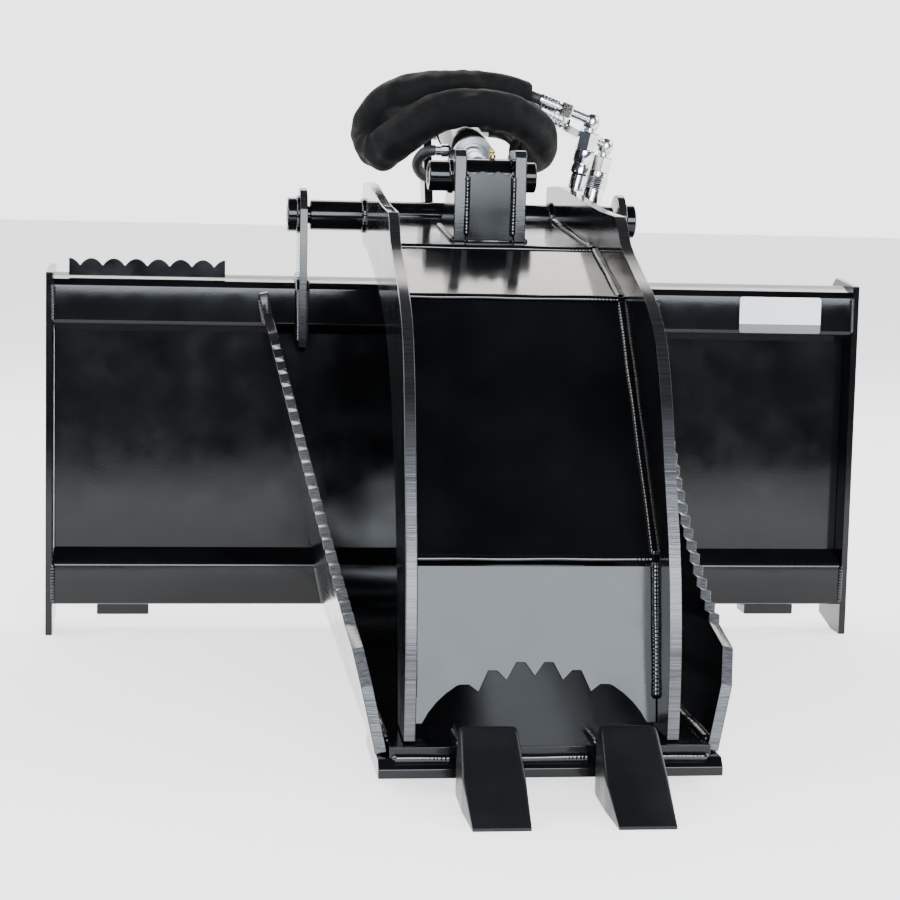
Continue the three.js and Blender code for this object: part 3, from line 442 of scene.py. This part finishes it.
def set_room():
    """Bright wall behind, dim room in front and overhead; the sky is a function of direction only."""
    world = bpy.data.worlds.new("room")
    bpy.context.scene.world = world
    world.use_nodes = True
    tree = world.node_tree

    def ramp(source, levels):
        made = tree.nodes.new("ShaderNodeValToRGB")
        stops = made.color_ramp.elements
        stops[0].position, stops[0].color = levels[0][0], (*levels[0][1], 1.0)
        stops[1].position, stops[1].color = levels[-1][0], (*levels[-1][1], 1.0)
        for position, colour in levels[1:-1]:
            stops.new(position).color = (*colour, 1.0)
        tree.links.new(source, made.inputs["Fac"])
        return made.outputs["Color"]

    where = tree.nodes.new("ShaderNodeTexCoord")
    split = tree.nodes.new("ShaderNodeSeparateXYZ")
    tree.links.new(where.outputs["Generated"], split.inputs["Vector"])
    height = ramp(split.outputs["Z"], [(0.0, (1, 1, 1)), (0.42, (1, 1, 1)), (0.64, (0.4, 0.4, 0.4)),
                                       (0.8, (0.05, 0.05, 0.055)), (1.0, (0.03, 0.03, 0.035))])
    depth = ramp(split.outputs["Y"], [(0.0, (0.035, 0.04, 0.05)), (0.25, (0.5, 0.5, 0.5)), (0.5, (1, 1, 1))])
    both = tree.nodes.new("ShaderNodeMix")
    both.data_type, both.blend_type = "RGBA", "MULTIPLY"
    both.inputs["Factor"].default_value = 1.0
    tree.links.new(height, both.inputs["A"])
    tree.links.new(depth, both.inputs["B"])
    tree.links.new(both.outputs["Result"], tree.nodes["Background"].inputs["Color"])
    tree.nodes["Background"].inputs["Strength"].default_value = 3.2
    soft_box("box_front", (0.4, -6.5, 2.1), (0, 0, 0.4), 5.0, 3.0, 850, (0.84, 0.92, 1.0))
    soft_box("box_back", (0.0, 3.6, 3.3), (0, 0, 0.2), 5.0, 1.6, 150, (1.0, 0.97, 0.92))
    soft_box("box_left", (-4.5, -0.6, 3.0), (0, 0, 0), 3.0, 3.0, 230)
    soft_box("box_right", (4.5, -0.2, 3.0), (0, 0, 0), 3.0, 3.0, 200)


set_camera()
set_floor()
set_room()
print("camera at", [round(v, 3) for v in bpy.context.scene.camera.location])

# %% [markdown]
# ## Plates with softened edges
#
# A plate that has been burned out and ground, then powder coated, has no knife edge: the
# corner is broken by about a millimetre and the coat rounds it further. That thin line of light
# along every edge is what tells the eye that it is thick steel, so each plate is shown by a copy
# of itself with its corners rounded.

# %%
EDGE_ROUND = {
    "face_panel": 0.6, "top_hook_rail": 1.0, "bottom_rail": 1.0, "left_end_plate": 1.2, "right_end_plate": 1.2,
    "left_pin_pocket": 1.0, "right_pin_pocket": 1.0, "step_grip": 0.8, "floor_plate": 1.2, "cutting_edge": 1.2,
    "left_side_plate": 1.1, "right_side_plate": 1.1, "left_hinge_lug": 1.1, "right_hinge_lug": 1.1,
    "left_base_ear": 1.1, "right_base_ear": 1.1, "left_lid_cheek": 1.3, "right_lid_cheek": 1.3,
    "lid_rear_panel": 0.9, "lid_top_panel": 0.9, "lid_front_panel": 0.9, "lid_nose_panel": 1.0,
    "left_lid_ear": 1.3, "right_lid_ear": 1.3, "lid_ear_web": 1.0,
}
body_of = {name: body for body, members in frame["record"]["behaviour"]["bodies"].items() for name in members}


def softened(name, width):
    """A copy of a plate, its flat faces made whole and its corners rounded by width mm."""
    work = bmesh.new()
    work.from_mesh(nodes[name].data)
    bmesh.ops.remove_doubles(work, verts=work.verts, dist=2e-5)
    bmesh.ops.dissolve_limit(work, angle_limit=math.radians(0.6), verts=work.verts, edges=work.edges)
    mesh = bpy.data.meshes.new(name + "_plate")
    work.to_mesh(mesh)
    work.free()
    mesh.shade_smooth()
    mesh.set_sharp_from_angle(angle=math.radians(32))
    mesh.materials.append(BURNED if name in BURNED_NODES else FINISH[slot_of[name]])
    piece = bpy.data.objects.new(name + "_plate", mesh)
    bpy.context.scene.collection.objects.link(piece)
    bevel = piece.modifiers.new("round", "BEVEL")
    bevel.width = width / 1000.0
    bevel.segments = 2
    bevel.limit_method = "ANGLE"
    bevel.angle_limit = math.radians(32)
    bevel.harden_normals = True
    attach(piece, body_of[name])
    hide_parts(name)
    return piece


plates = {name: softened(name, width) for name, width in EDGE_ROUND.items()}
print("plates softened", len(plates))

# %% [markdown]
# ## Pins, tubes and the cylinder
#
# Pins, bosses and the cylinder are turned on a lathe. Each is a profile of radius against
# distance, with small chamfers where the turner broke the corner.

# %%
PIVOT = (10.0, 588.0)
BASE = (160.0, 722.0)
ROD_EYE = (-225.0, 644.0)
STRUT = np.array([0.0, ROD_EYE[0] - BASE[0], ROD_EYE[1] - BASE[1]])
STRUT_LENGTH = float(np.linalg.norm(STRUT))
STRUT /= STRUT_LENGTH


def cross_pin(centre, x):
    return at(x, *centre)


def on_strut(distance, x=0.0):
    y, z = BASE[0] + STRUT[1] * distance, BASE[1] + STRUT[2] * distance
    return at(x, y, z)


def pin_profile(radius, length, chamfer=1.0):
    c = chamfer
    return [(0, 0), (radius - c, 0), (radius, c), (radius, length - c), (radius - c, length), (0, length)]


def ring_profile(radius, bore, length, chamfer=0.8):
    c = chamfer
    return [(bore, c), (bore + c, 0), (radius - c, 0), (radius, c), (radius, length - c), (radius - c, length),
            (bore + c, length), (bore, length - c)]


def add_turned():
    paint, steel = FINISH["black_paint"], FINISH["bare_steel"]
    turned("hinge_pin_bar", pin_profile(12.6, 483), cross_pin(PIVOT, -241.5), cross_pin(PIVOT, 241.5), paint,
           "frame", "black_paint", replaces="hinge_pin")
    turned("hinge_tube_bar", ring_profile(21, 18, 424), cross_pin(PIVOT, -212), cross_pin(PIVOT, 212), paint,
           "lid", "black_paint", ring=True, replaces="hinge_tube")
    for side, word in ((-1, "left"), (1, "right")):
        turned(f"{word}_boss_ring", ring_profile(23.6, 12.9, 16, 1.5), cross_pin(PIVOT, side * 227.8),
               cross_pin(PIVOT, side * 243.8), paint, "frame", "black_paint", ring=True,
               replaces=f"{word}_lug_boss")
    turned("left_collar_ring", ring_profile(19.5, 11.3, 28.7, 1.5), cross_pin(ROD_EYE, -46.3),
           cross_pin(ROD_EYE, -75), paint, "lid", "black_paint", ring=True, replaces="left_rod_pin_collar")
    turned("right_collar_ring", ring_profile(19.5, 11.3, 17.7, 1.5), cross_pin(ROD_EYE, 46.3),
           cross_pin(ROD_EYE, 64), paint, "lid", "black_paint", ring=True, replaces="right_rod_pin_collar")
    turned("rod_pin_bar", pin_profile(11, 135), cross_pin(ROD_EYE, -73), cross_pin(ROD_EYE, 62), steel,
           "lid", "bare_steel", replaces="rod_pin")
    turned("base_pin_bar", pin_profile(12.6, 112), cross_pin(BASE, -56), cross_pin(BASE, 56), steel,
           "frame", "bare_steel", replaces="base_pin")
    turned("base_eye_tube", ring_profile(23, 12.9, 61), cross_pin(BASE, -30.5), cross_pin(BASE, 30.5), paint,
           "barrel", "black_paint", ring=True, replaces="cylinder_base_eye")
    turned("rod_eye_tube", ring_profile(23, 16.4, 59), cross_pin(ROD_EYE, -29.5), cross_pin(ROD_EYE, 29.5), paint,
           "rod", "black_paint", ring=True, replaces="rod_eye")
    barrel = [(0, 24), (26, 24), (29, 27), (29, 252), (28, 255), (25.4, 255), (25.4, 40), (0, 40)]
    turned("barrel_tube", barrel, on_strut(0), on_strut(255), paint, "barrel", "black_paint",
           replaces="cylinder_barrel")
    gland = [(14.3, 232), (25.1, 232), (25.1, 255.3), (28, 255.3), (29, 256.3), (29, 261), (28, 262), (20, 262),
             (19, 260.5), (16, 260.5), (14.3, 262)]
    turned("gland_nut", gland, on_strut(0), on_strut(255), steel, "barrel", "bare_steel", ring=True,
           replaces="cylinder_gland")
    turned("rod_bar", pin_profile(14, 171), on_strut(198), on_strut(369), FINISH["chrome_rod"], "rod", "chrome_rod",
           replaces="piston_rod")
    nipple = [(0, 0), (3, 0), (4.4, 1), (4.4, 4.5), (3, 5.2), (2.6, 6.5), (3.4, 8), (3.4, 9.4), (1.8, 12),
              (0, 12.4)]
    turned("nipple_turned", nipple, at(8, ROD_EYE[0], 667.4), at(8, ROD_EYE[0], 690), FINISH["brass"], "rod",
           "brass", sides=48, replaces="rod_eye_grease_nipple")


add_turned()
print("cylinder pin to pin", round(STRUT_LENGTH, 1), "mm")

# %% [markdown]
# ## Cast teeth and their shanks
#
# A digging tooth is a steel casting that slides over the nose of a shank and is held by a
# roll pin, so it can be changed when it wears. Castings have generous radii and a slightly crowned
# back. Each is lofted through rounded rectangles: the section at station s is
# x = w |cos t|^(2/n), z = h |sin t|^(2/n), with n from 7 to 14 for a boxy casting.

# %%
def lofted(name, stations, material, body, slot, sides=72, power=7.0, narrow=(0, 1, 0.0), **more):
    """Loft through (x, y, low z, high z, width) stations in mm, each a rounded rectangle.

    narrow = (z0, z1, share) draws the section in by that share between the two heights.
    """
    x, y, low, high, width = np.asarray(stations, float).T
    t = np.linspace(0, 2 * np.pi, sides, endpoint=False)
    c, s = np.cos(t), np.sin(t)
    cx = np.sign(c) * np.abs(c) ** (2 / power)
    cz = np.sign(s) * np.abs(s) ** (2 / power)
    z = (low + high)[:, None] / 2 + (high - low)[:, None] / 2 * cz[None]
    draw = 1 - narrow[2] * np.clip((z - narrow[0]) / (narrow[1] - narrow[0]), 0, 1)
    grid = np.stack([x[:, None] + width[:, None] / 2 * cx[None] * draw,
                     np.broadcast_to(y[:, None], z.shape), z], -1)
    return mesh_object(name, points(grid.reshape(-1, 3)), grid_faces(len(y), sides), material, body, slot,
                       **more)


def tooth_stations(x):
    """Rounded back lip, a steep back, then the long wedge of the blade down to a chisel tip."""
    y = np.concatenate([[-862.2, -863.2, -865.5, -869, -873], np.linspace(-877, -923, 14),
                        np.linspace(-926, -983.2, 14), [-984]])
    top = np.interp(-y, [862, 863.2, 865.5, 869, 873, 877, 881, 923, 927, 984],
                    [70, 74, 76.6, 77.8, 78, 77.4, 75, 39, 36, 3.4])
    shrink = np.interp(-y, [862, 863.2, 866, 984], [3.0, 1.2, 0.0, 0.0])
    width = np.interp(-y, [862, 925, 984], [64.0, 65.0, 59.0]) - 2 * shrink
    low = np.interp(-y, [862, 866, 984], [2.0, 0.0, 0.0])
    return np.stack([np.full_like(y, x), y, low, np.maximum(top, low + 1.6), width], 1)


def shank_stations(x):
    y = np.array([-766, -767.2, -770, -776, -800, -830, -861.7])
    high = np.array([50, 54, 56.2, 57, 57, 57, 57])
    wide = np.array([38, 43, 45.2, 46, 46, 46, 46])
    return np.stack([np.full_like(y, x), y, np.full_like(y, 48.2), high, wide], 1)


for side, word in ((-1, "left"), (1, "right")):
    x = side * 73.0
    lofted(f"{word}_tooth_casting", tooth_stations(x), CAST, "frame", "black_paint", power=14.0,
           narrow=(37, 78, 0.06), replaces=f"{word}_tooth")
    lofted(f"{word}_shank_saddle", shank_stations(x), CAST, "frame", "black_paint")
    ends = at(x - 31.6, -882, 27), at(x + 31.6, -882, 27)
    turned(f"{word}_roll_pin", [(0, 0), (5, 0), (5, 63.2), (0, 63.2)], *ends, FINISH["bare_steel"], "frame",
           "bare_steel", sides=40, replaces=f"{word}_tooth_pin")
print("teeth at x = +-73 mm")

# %% [markdown]
# ## Hoses and their woven sleeve
#
# Two half-inch class hoses feed the cylinder. They run together in a woven nylon sleeve
# that keeps them off sharp edges, loop round over the cylinder and end at the couplers. The loop
# is spare length: the lid needs it when it opens.

# %%
SLEEVE_ROUTE = [(88, 64, 678), (106, 36, 682), (110, 4, 696), (92, -26, 717), (50, -45, 733), (0, -50, 738),
                (-50, -44, 727), (-90, -20, 701), (-116, 8, 679), (-130, 33, 690), (-127, 41, 722),
                (-104, 26, 751), (-58, 8, 765), (-6, 2, 769), (42, 8, 765), (86, 16, 757)]
UPPER_END = dict(start=(104, 5, 755), elbow=(181, 12, 727), tip=(160, 14, 630))
LOWER_END = dict(start=(106, 30, 740), elbow=(211, 60, 695), tip=(190, 62, 610))
BASE_TAIL = [(46.9, 101.2, 710.1), (51.9, 101.2, 710.1), (62, 103, 709), (76, 99, 704), (86, 84, 692)]
ROD_TAIL = [(-46.9, -50.7, 679.3), (-51.9, -50.7, 679.3), (-62, -46, 675), (-68, -24, 661), (-56, 4, 646),
            (-26, 30, 638), (14, 50, 636), (52, 72, 642), (78, 80, 658)]
HOSE_DIAMETER = 0.015
APART = 8.6


def sleeve_sides(path):
    """Sideways directions that start upright and end in line with the two fittings."""
    tangent, e1, e2 = path_frames(path)
    apart = np.subtract(UPPER_END["start"], LOWER_END["start"])

    def angle(i, wanted):
        return math.atan2(np.dot(wanted, e2[i]), np.dot(wanted, e1[i]))

    first = angle(0, (0, 0, 1))
    turn = math.atan2(math.sin(angle(-1, apart) - first), math.cos(angle(-1, apart) - first))
    a = first + turn * np.linspace(0, 1, len(path))
    across = e1 * np.cos(a)[:, None] + e2 * np.sin(a)[:, None]
    return tangent, across, np.cross(tangent, across)


def hose_path(tail, offset, end, count=420):
    middle = spline(SLEEVE_ROUTE, 17)
    inside = middle + sleeve_sides(middle)[1] * offset
    start, elbow = np.array(end["start"], float), np.array(end["elbow"], float)
    back = start - (elbow - start) / np.linalg.norm(elbow - start) * 6
    return points(spline([*tail, *inside, back, start], count))


def hose(name, path, node):
    """Tube of the hose's own radius along its path."""
    t = np.linspace(0, 2 * np.pi, 28, endpoint=False)
    tangent, e1, e2 = path_frames(path)
    about = np.cos(t)[None, :, None] * e1[:, None] + np.sin(t)[None, :, None] * e2[:, None]
    grid = path[:, None] + HOSE_DIAMETER / 2 * about
    return mesh_object(name, grid.reshape(-1, 3), grid_faces(len(path), 28), FINISH["hose_rubber"], "barrel",
                       "hose_rubber", replaces=node)


base_path = hose_path(BASE_TAIL, APART, UPPER_END)
rod_path = hose_path(ROD_TAIL, -APART, LOWER_END)
base_hose = hose("base_hose_line", base_path, "base_side_hose")
rod_hose = hose("rod_hose_line", rod_path, "rod_side_hose")
print("hose lengths", round(run_length(base_path), 3), round(run_length(rod_path), 3), "m")


def sleeve_cloth():
    """A flattened tube with gathers: radius = oval(t) * (1 + folds), folds strongest at the bights."""
    rows, sides = 520, 72
    middle = spline(SLEEVE_ROUTE, rows)
    tangent, across, along = sleeve_sides(middle)
    s = np.linspace(0, run_length(middle), rows)[:, None]
    t = np.linspace(0, 2 * np.pi, sides, endpoint=False)[None]
    bend = np.linalg.norm(np.gradient(tangent, axis=0), axis=1) / (s[1, 0] - s[0, 0])
    bend = np.clip(np.convolve(bend, np.ones(25) / 25, "same") / 0.03, 0, 1)[:, None]
    oval = 1.0 / np.sqrt((np.cos(t) / 27.5) ** 2 + (np.sin(t) / 22.5) ** 2)
    gather = (1.3 * np.sin(s / 4.2 + 1.7 * np.sin(t) + 3 * np.sin(s / 31)) * (0.15 + 0.85 * bend)
              * (0.6 + 0.4 * np.sin(t + s / 37))
              + 1.1 * np.sin(3 * t + s / 17.0 + np.sin(s / 11)) * (0.6 + 0.4 * np.sin(s / 26 + 1))
              + 0.7 * np.sin(5 * t - s / 23.0 + np.sin(s / 9)) + 1.0 * np.sin(2 * t + s / 41.0))
    ends = 1 - 0.06 * (np.exp(-s / 6) + np.exp(-(s[-1] - s) / 6))
    outer = (oval + gather) * ends
    inner = outer - 1.5
    radial = np.cos(t)[..., None] * across[:, None] + np.sin(t)[..., None] * along[:, None]
    out_grid = middle[:, None] + outer[..., None] * radial
    in_grid = (middle[:, None] + inner[..., None] * radial)[::-1]
    grid = np.concatenate([out_grid, in_grid], 0)
    faces = grid_faces(2 * rows, sides, wrap_rows=True)
    piece = mesh_object("sleeve_cloth", points(grid.reshape(-1, 3)), faces, FINISH["woven_sleeve"], "barrel",
                        "woven_sleeve", smooth=70, replaces="hose_sleeve")
    layer = piece.data.uv_layers.new(name="sleeve")
    loops = np.empty(len(piece.data.loops), np.int64)
    piece.data.loops.foreach_get("vertex_index", loops)
    row, column = loops // sides, loops % sides
    row = np.where(row >= rows, 2 * rows - 1 - row, row)
    uv = np.stack([s[row, 0] / 1000, column / sides], 1)
    seam = (column.reshape(-1, 4).max(1) == sides - 1) & (column.reshape(-1, 4).min(1) == 0)
    lift = np.repeat(seam, 4) & (column == 0)
    uv[lift, 1] = 1.0
    uv[:, 0] *= 6.0
    layer.data.foreach_set("uv", uv.astype(np.float32).ravel())
    return piece, run_length(middle) / 1000


sleeve, sleeve_length = sleeve_cloth()
print("sleeve length", round(sleeve_length, 3), "m")

# %% [markdown]
# ## Crimped ends and flat-face couplers
#
# Each hose ends in a crimped ferrule, a hex swivel nut and an elbow that turns the line
# down to its coupler. One coupler is the plug half, the other the socket half with a sliding
# lock ring, so the two lines cannot be swapped by mistake.

# %%
def line_of(a, b):
    a, b = np.array(a, float), np.array(b, float)
    way = (b - a) / np.linalg.norm(b - a)
    return lambda d: points(a + way * d), float(np.linalg.norm(b - a))


def hose_end(word, end, node):
    point, run = line_of(end["start"], end["elbow"])
    zinc = FINISH["zinc_plate"]
    ferrule = [(7.6, 0.2), (9.3, 0.2)]
    for k in range(5):
        d = 1.5 + k * run * 0.062
        ferrule += [(9.6, d), (9.6, d + run * 0.035), (9.0, d + run * 0.045), (9.0, d + run * 0.056)]
    ferrule += [(9.5, run * 0.34), (7.6, run * 0.35)]
    made = [turned(f"{word}_ferrule", ferrule, point(0), point(run), zinc, "barrel", "zinc_plate", sides=64,
                   ring=True, replaces=node)]
    stem = [(0, 0.5), (6.6, 0.5), (6.6, run * 0.9), (7.6, run * 0.9), (7.6, run), (0, run)]
    made.append(turned(f"{word}_stem", stem, point(0), point(run), zinc, "barrel", "zinc_plate", sides=48))
    nut = [(0, run * 0.4), (9.6, run * 0.4), (10.8, run * 0.42), (10.8, run * 0.58), (9.6, run * 0.6),
           (0, run * 0.6)]
    made.append(turned(f"{word}_swivel_nut", nut, point(0), point(run), zinc, "barrel", "zinc_plate",
                       sides=60, flats=6, smooth=20))
    down, length = line_of(end["elbow"], end["tip"])
    knee = [(0, -10.5), (6, -9.5), (9.6, -6), (10.8, 0), (10.8, 7), (9.6, 10), (8.0, 11), (8.0, 16), (0, 16)]
    made.append(turned(f"{word}_elbow", knee, down(0), down(length), zinc, "barrel", "zinc_plate", sides=48))
    return made


def coupler(word, end, node, socket):
    down, length = line_of(end["elbow"], end["tip"])
    bright = FINISH["bright_plate"]
    first, reach = 16.3, length - 16.3
    shoulder = first + reach * 0.32
    hexagon = [(0, first), (14.0, first), (15.5, first + 1.5), (15.5, first + reach * 0.3), (14.0, shoulder),
               (0, shoulder)]
    made = [turned(f"{word}_coupler_hex", hexagon, down(0), down(length), bright, "barrel", "bright_plate",
                   sides=60, flats=6, smooth=20, replaces=node)]
    body = [(0, shoulder), (13.6, shoulder), (13.9, first + reach * 0.35),
            (13.9, first + reach * 0.5), (12.2, first + reach * 0.53), (12.2, first + reach * 0.56),
            (13.6, first + reach * 0.59), (13.6, first + reach * 0.7), (11, first + reach * 0.74),
            (11, length - 1), (10.2, length - 0.2), (0, length - 0.2)]
    if socket:
        body = [(0, shoulder), (14.6, shoulder), (14.6, length - 1.6), (13.6, length - 0.4), (9, length - 0.4),
                (8.6, length - 2), (0, length - 2)]
    made.append(turned(f"{word}_coupler_body", body, down(0), down(length), bright, "barrel", "bright_plate"))
    return made


upper_pieces = hose_end("upper", UPPER_END, "upper_hose_end")
upper_pieces += coupler("plug", UPPER_END, "plug_coupler", False)
lower_pieces = hose_end("lower", LOWER_END, "lower_hose_end")
lower_pieces += coupler("socket", LOWER_END, "socket_coupler", True)


def lock_ring():
    down, length = line_of(LOWER_END["elbow"], LOWER_END["tip"])
    reach = length - 16.3
    start, stop = 16.3 + reach * 0.41, 16.3 + reach * 0.67
    d = np.linspace(start, stop, 15)
    ridge = np.where(np.arange(15) % 2 == 0, 16.9, 16.3)
    profile = [(15.3, start)] + list(zip(ridge, d)) + [(15.3, stop)]
    return turned("lock_ring_knurled", profile, down(0), down(length), FINISH["zinc_plate"], "lock_ring",
                  "zinc_plate", ring=True, smooth=25, replaces="coupler_lock_ring")


ring = lock_ring()

# %% [markdown]
# ## Beads of weld
#
# The bucket is a weldment, and the beads are as much a part of its look as the plates. A
# bead is a low ridge of overlapping ripples. Its section is a half round of width w and height h,
# and its size along the run is 1 + 0.1 saw(s / pitch), with a slow wander from side to side.

# %%
BEAD_STEP = 0.0011
beads = []


def bead(name, rows, normal, body, width=8.0, height=3.2, pitch=4.2, seed=0, closed=False):
    """Adds a rippled bead along workshop points, standing up along normal."""
    rows = points(rows)
    run = np.concatenate([[0.0], np.cumsum(np.linalg.norm(np.diff(rows, axis=0), axis=1))])
    count = max(int(run[-1] / BEAD_STEP), 6)
    s = np.linspace(0, run[-1], count)
    path = np.stack([np.interp(s, run, rows[:, k]) for k in range(3)], 1)
    tangent = np.gradient(path, axis=0)
    tangent /= np.linalg.norm(tangent, axis=1)[:, None]
    up = np.broadcast_to(np.asarray(normal, float), path.shape)
    up = up - tangent * (up * tangent).sum(1)[:, None]
    up = up / np.linalg.norm(up, axis=1)[:, None]
    side = np.cross(tangent, up)
    t = np.linspace(0, 2 * np.pi, 12, endpoint=False)
    mm = s * 1000
    phase = mm / pitch + 0.25 * np.sin(mm / 31.0 + seed)
    ripple = 1 + 0.13 * (np.mod(phase, 1.0) ** 1.6 - 0.35) + 0.05 * np.sin(mm / 13.0 + 2 * seed)
    taper = np.ones_like(s) if closed else np.clip(np.minimum(s, s[-1] - s) / 0.003, 0.25, 1) ** 0.5
    wander = 0.0003 * np.sin(mm / 19.0 + 3 * seed)
    across = (width / 2000) * ripple[:, None] * taper[:, None] * np.cos(t)[None] + wander[:, None]
    rise = (height / 1000) * ripple[:, None] * taper[:, None] * np.sin(t)[None]
    grid = path[:, None] + across[..., None] * side[:, None] + rise[..., None] * up[:, None]
    beads.append(mesh_object(name, grid.reshape(-1, 3), grid_faces(count, 12), WELD, body, "black_paint",
                             smooth=80))


def ring_bead(name, centre, x, radius, body, **size):
    t = np.linspace(0, 2 * np.pi, 80)
    rows = np.stack([np.full_like(t, x), centre[0] + radius * np.cos(t), centre[1] + radius * np.sin(t)], 1)
    bead(name, rows, (1, 0, 0), body, closed=True, **size)


LEAN = math.tan(math.radians(12.5))  # the trough's sides lean outwards by this much
DECK_Z = 48.4  # just above the top of the floor plate
TOOTH_X = 73.0
FOLDS = np.array([(-14, 588), (-330, 555), (-508, 502), (-738, 231), (-770, 56)], float)


def lid_half(y):
    return 137.0 + 10.0 * (10.0 - y) / 832.0


def lid_middle(y):
    return -8.0 * (10.0 - y) / 832.0


def lid_edge(y, side):
    return lid_middle(y) + side * (lid_half(y) - 12.7)


for side, word in ((-1, "left"), (1, "right")):
    names = ("rear", "top", "front", "nose")
    for k, part in enumerate(names):
        (y0, z0), (y1, z1) = FOLDS[k], FOLDS[k + 1]
        if part == "nose":
            y1, z1 = -765.5, 80
        if part == "rear":
            y0, z0 = -30, 586.5
        share = np.linspace(0.01, 0.99, 12)
        y, z = y0 + (y1 - y0) * share, z0 + (z1 - z0) * share
        ahead, down = (FOLDS[k] - FOLDS[k + 1]) / np.linalg.norm(FOLDS[k] - FOLDS[k + 1])
        outwards = (-side * 0.8, -down, ahead)
        rows = np.stack([lid_edge(y, side) - side * 1.5, y, z], 1)
        bead(f"{word}_{part}_lid_weld", rows, outwards, "lid", width=9.5, height=4.2, seed=k + side)
for k, part in ((1, "first"), (2, "second"), (3, "third")):
    y, z = FOLDS[k]
    half = lid_half(y) - 13.5
    rows = [(lid_middle(y) - half, y - 1, z + 0.5), (lid_middle(y) + half, y - 1, z + 0.5)]
    bead(f"{part}_fold_weld", rows, (0, -0.7, 0.7), "lid", width=8, height=2.4, seed=k)

for side, word in ((-1, "left"), (1, "right")):
    foot = side * 171.0
    bead(f"{word}_trough_inner_weld", [(foot, -20, 48.5), (foot, -812, 48.5)], (-side, 0, 1), "frame",
         width=9, height=4, seed=side)
    bead(f"{word}_trough_outer_weld", [(side * 180, -14, 34.6), (side * 180, -812, 34.6)],
         (side, 0, -1), "frame", width=8, height=2.0, seed=2 * side)
    rows = [(side * (184.6 + (z - 35) * LEAN), -8.6, z) for z in (46, 70, 98)]
    bead(f"{word}_low_rail_weld", rows, (side, -1, 0), "frame", seed=3)
    rows = [(side * (184.6 + (z - 35) * LEAN), -8.6, z) for z in (436, 455, 470)]
    bead(f"{word}_high_rail_weld", rows, (side, -1, 0), "frame", seed=4)
    rows = [(side * (171.2 + (z - 35) * LEAN), 27.6, z) for z in (140, 260, 400)]
    bead(f"{word}_panel_inner_weld", rows, (-side, -1, 0), "frame", seed=6)
    for face, x in (("inner", side * 216.6), ("outer", side * 227.9)):
        rows = [(x, -8.8, 412), (x, -8.8, 484), (x, -4, 494), (x, 6, 498.6), (x, 36, 504.6)]
        way = -side if face == "inner" else side
        bead(f"{word}_lug_{face}_weld", rows, (way, -1, 0.4), "frame", width=9, height=4.5, seed=7)
    for face, x in (("inner", side * 31.7), ("outer", side * 44.3)):
        way = -side if face == "inner" else side
        rows = [(x, 12, 500.8), (x, 34, 504), (x, 56, 487)]
        bead(f"{word}_base_ear_{face}_weld", rows, (way, 0, 1), "frame", width=9, height=4.5, seed=8)
        x = side * 30.7 if face == "inner" else side * 46.3
        rows = [(x, -268, 562.2), (x, -112, 578.5)]
        bead(f"{word}_lid_ear_{face}_weld", rows, (way, 0, 1), "lid", width=8, height=4, seed=9)
    bead(f"{word}_web_weld", [(side * 29.5, -270.6, 568), (side * 29.5, -270.6, 646)], (-side, -1, 0),
         "lid", width=8, height=3.6, seed=10)
    bead(f"{word}_end_top_weld", [(side * 561.6, -8.5, 437), (side * 561.6, -8.5, 487)], (-side, -1, 0),
         "frame", width=7, height=3, seed=11)
    bead(f"{word}_end_low_weld", [(side * 561.6, -8.5, 46), (side * 561.6, -8.5, 101)], (-side, -1, 0),
         "frame", width=7, height=3, seed=12)
    x = side * TOOTH_X
    rows = [(x - 24, -832, DECK_Z), (x - 24, -770, DECK_Z)]
    bead(f"{word}_shank_left_weld", rows, (-1, 0, 1), "frame", width=8, height=4, seed=13)
    rows = [(x + 24, -832, DECK_Z), (x + 24, -770, DECK_Z)]
    bead(f"{word}_shank_right_weld", rows, (1, 0, 1), "frame", width=8, height=4, seed=14)
    bead(f"{word}_shank_rear_weld", [(x - 22, -765.6, DECK_Z), (x + 22, -765.6, DECK_Z)], (0, 1, 1), "frame",
         width=8, height=4, seed=15)
    ring_bead(f"{word}_boss_weld", PIVOT, side * 228.6, 23.8, "frame", width=5, height=3)
    inner = lid_edge(10.0, side)
    ring_bead(f"{word}_tube_inner_weld", PIVOT, inner - side * 0.8, 21.4, "lid", width=6, height=4)
    ring_bead(f"{word}_tube_outer_weld", PIVOT, inner + side * 13.5, 21.4, "lid", width=6, height=4)
    ring_bead(f"{word}_collar_weld", ROD_EYE, side * 46.8, 19.8, "lid", width=5, height=3)
for k, (x0, x1) in enumerate(((-168, -105), (-41, 41), (105, 168))):
    bead(f"edge_weld_{k}", [(x0, -836.5, 36), (x1, -836.5, 36)], (0, -1, 0.6), "frame", width=9,
         height=4.2, seed=16 + k)
print("weld beads", len(beads))
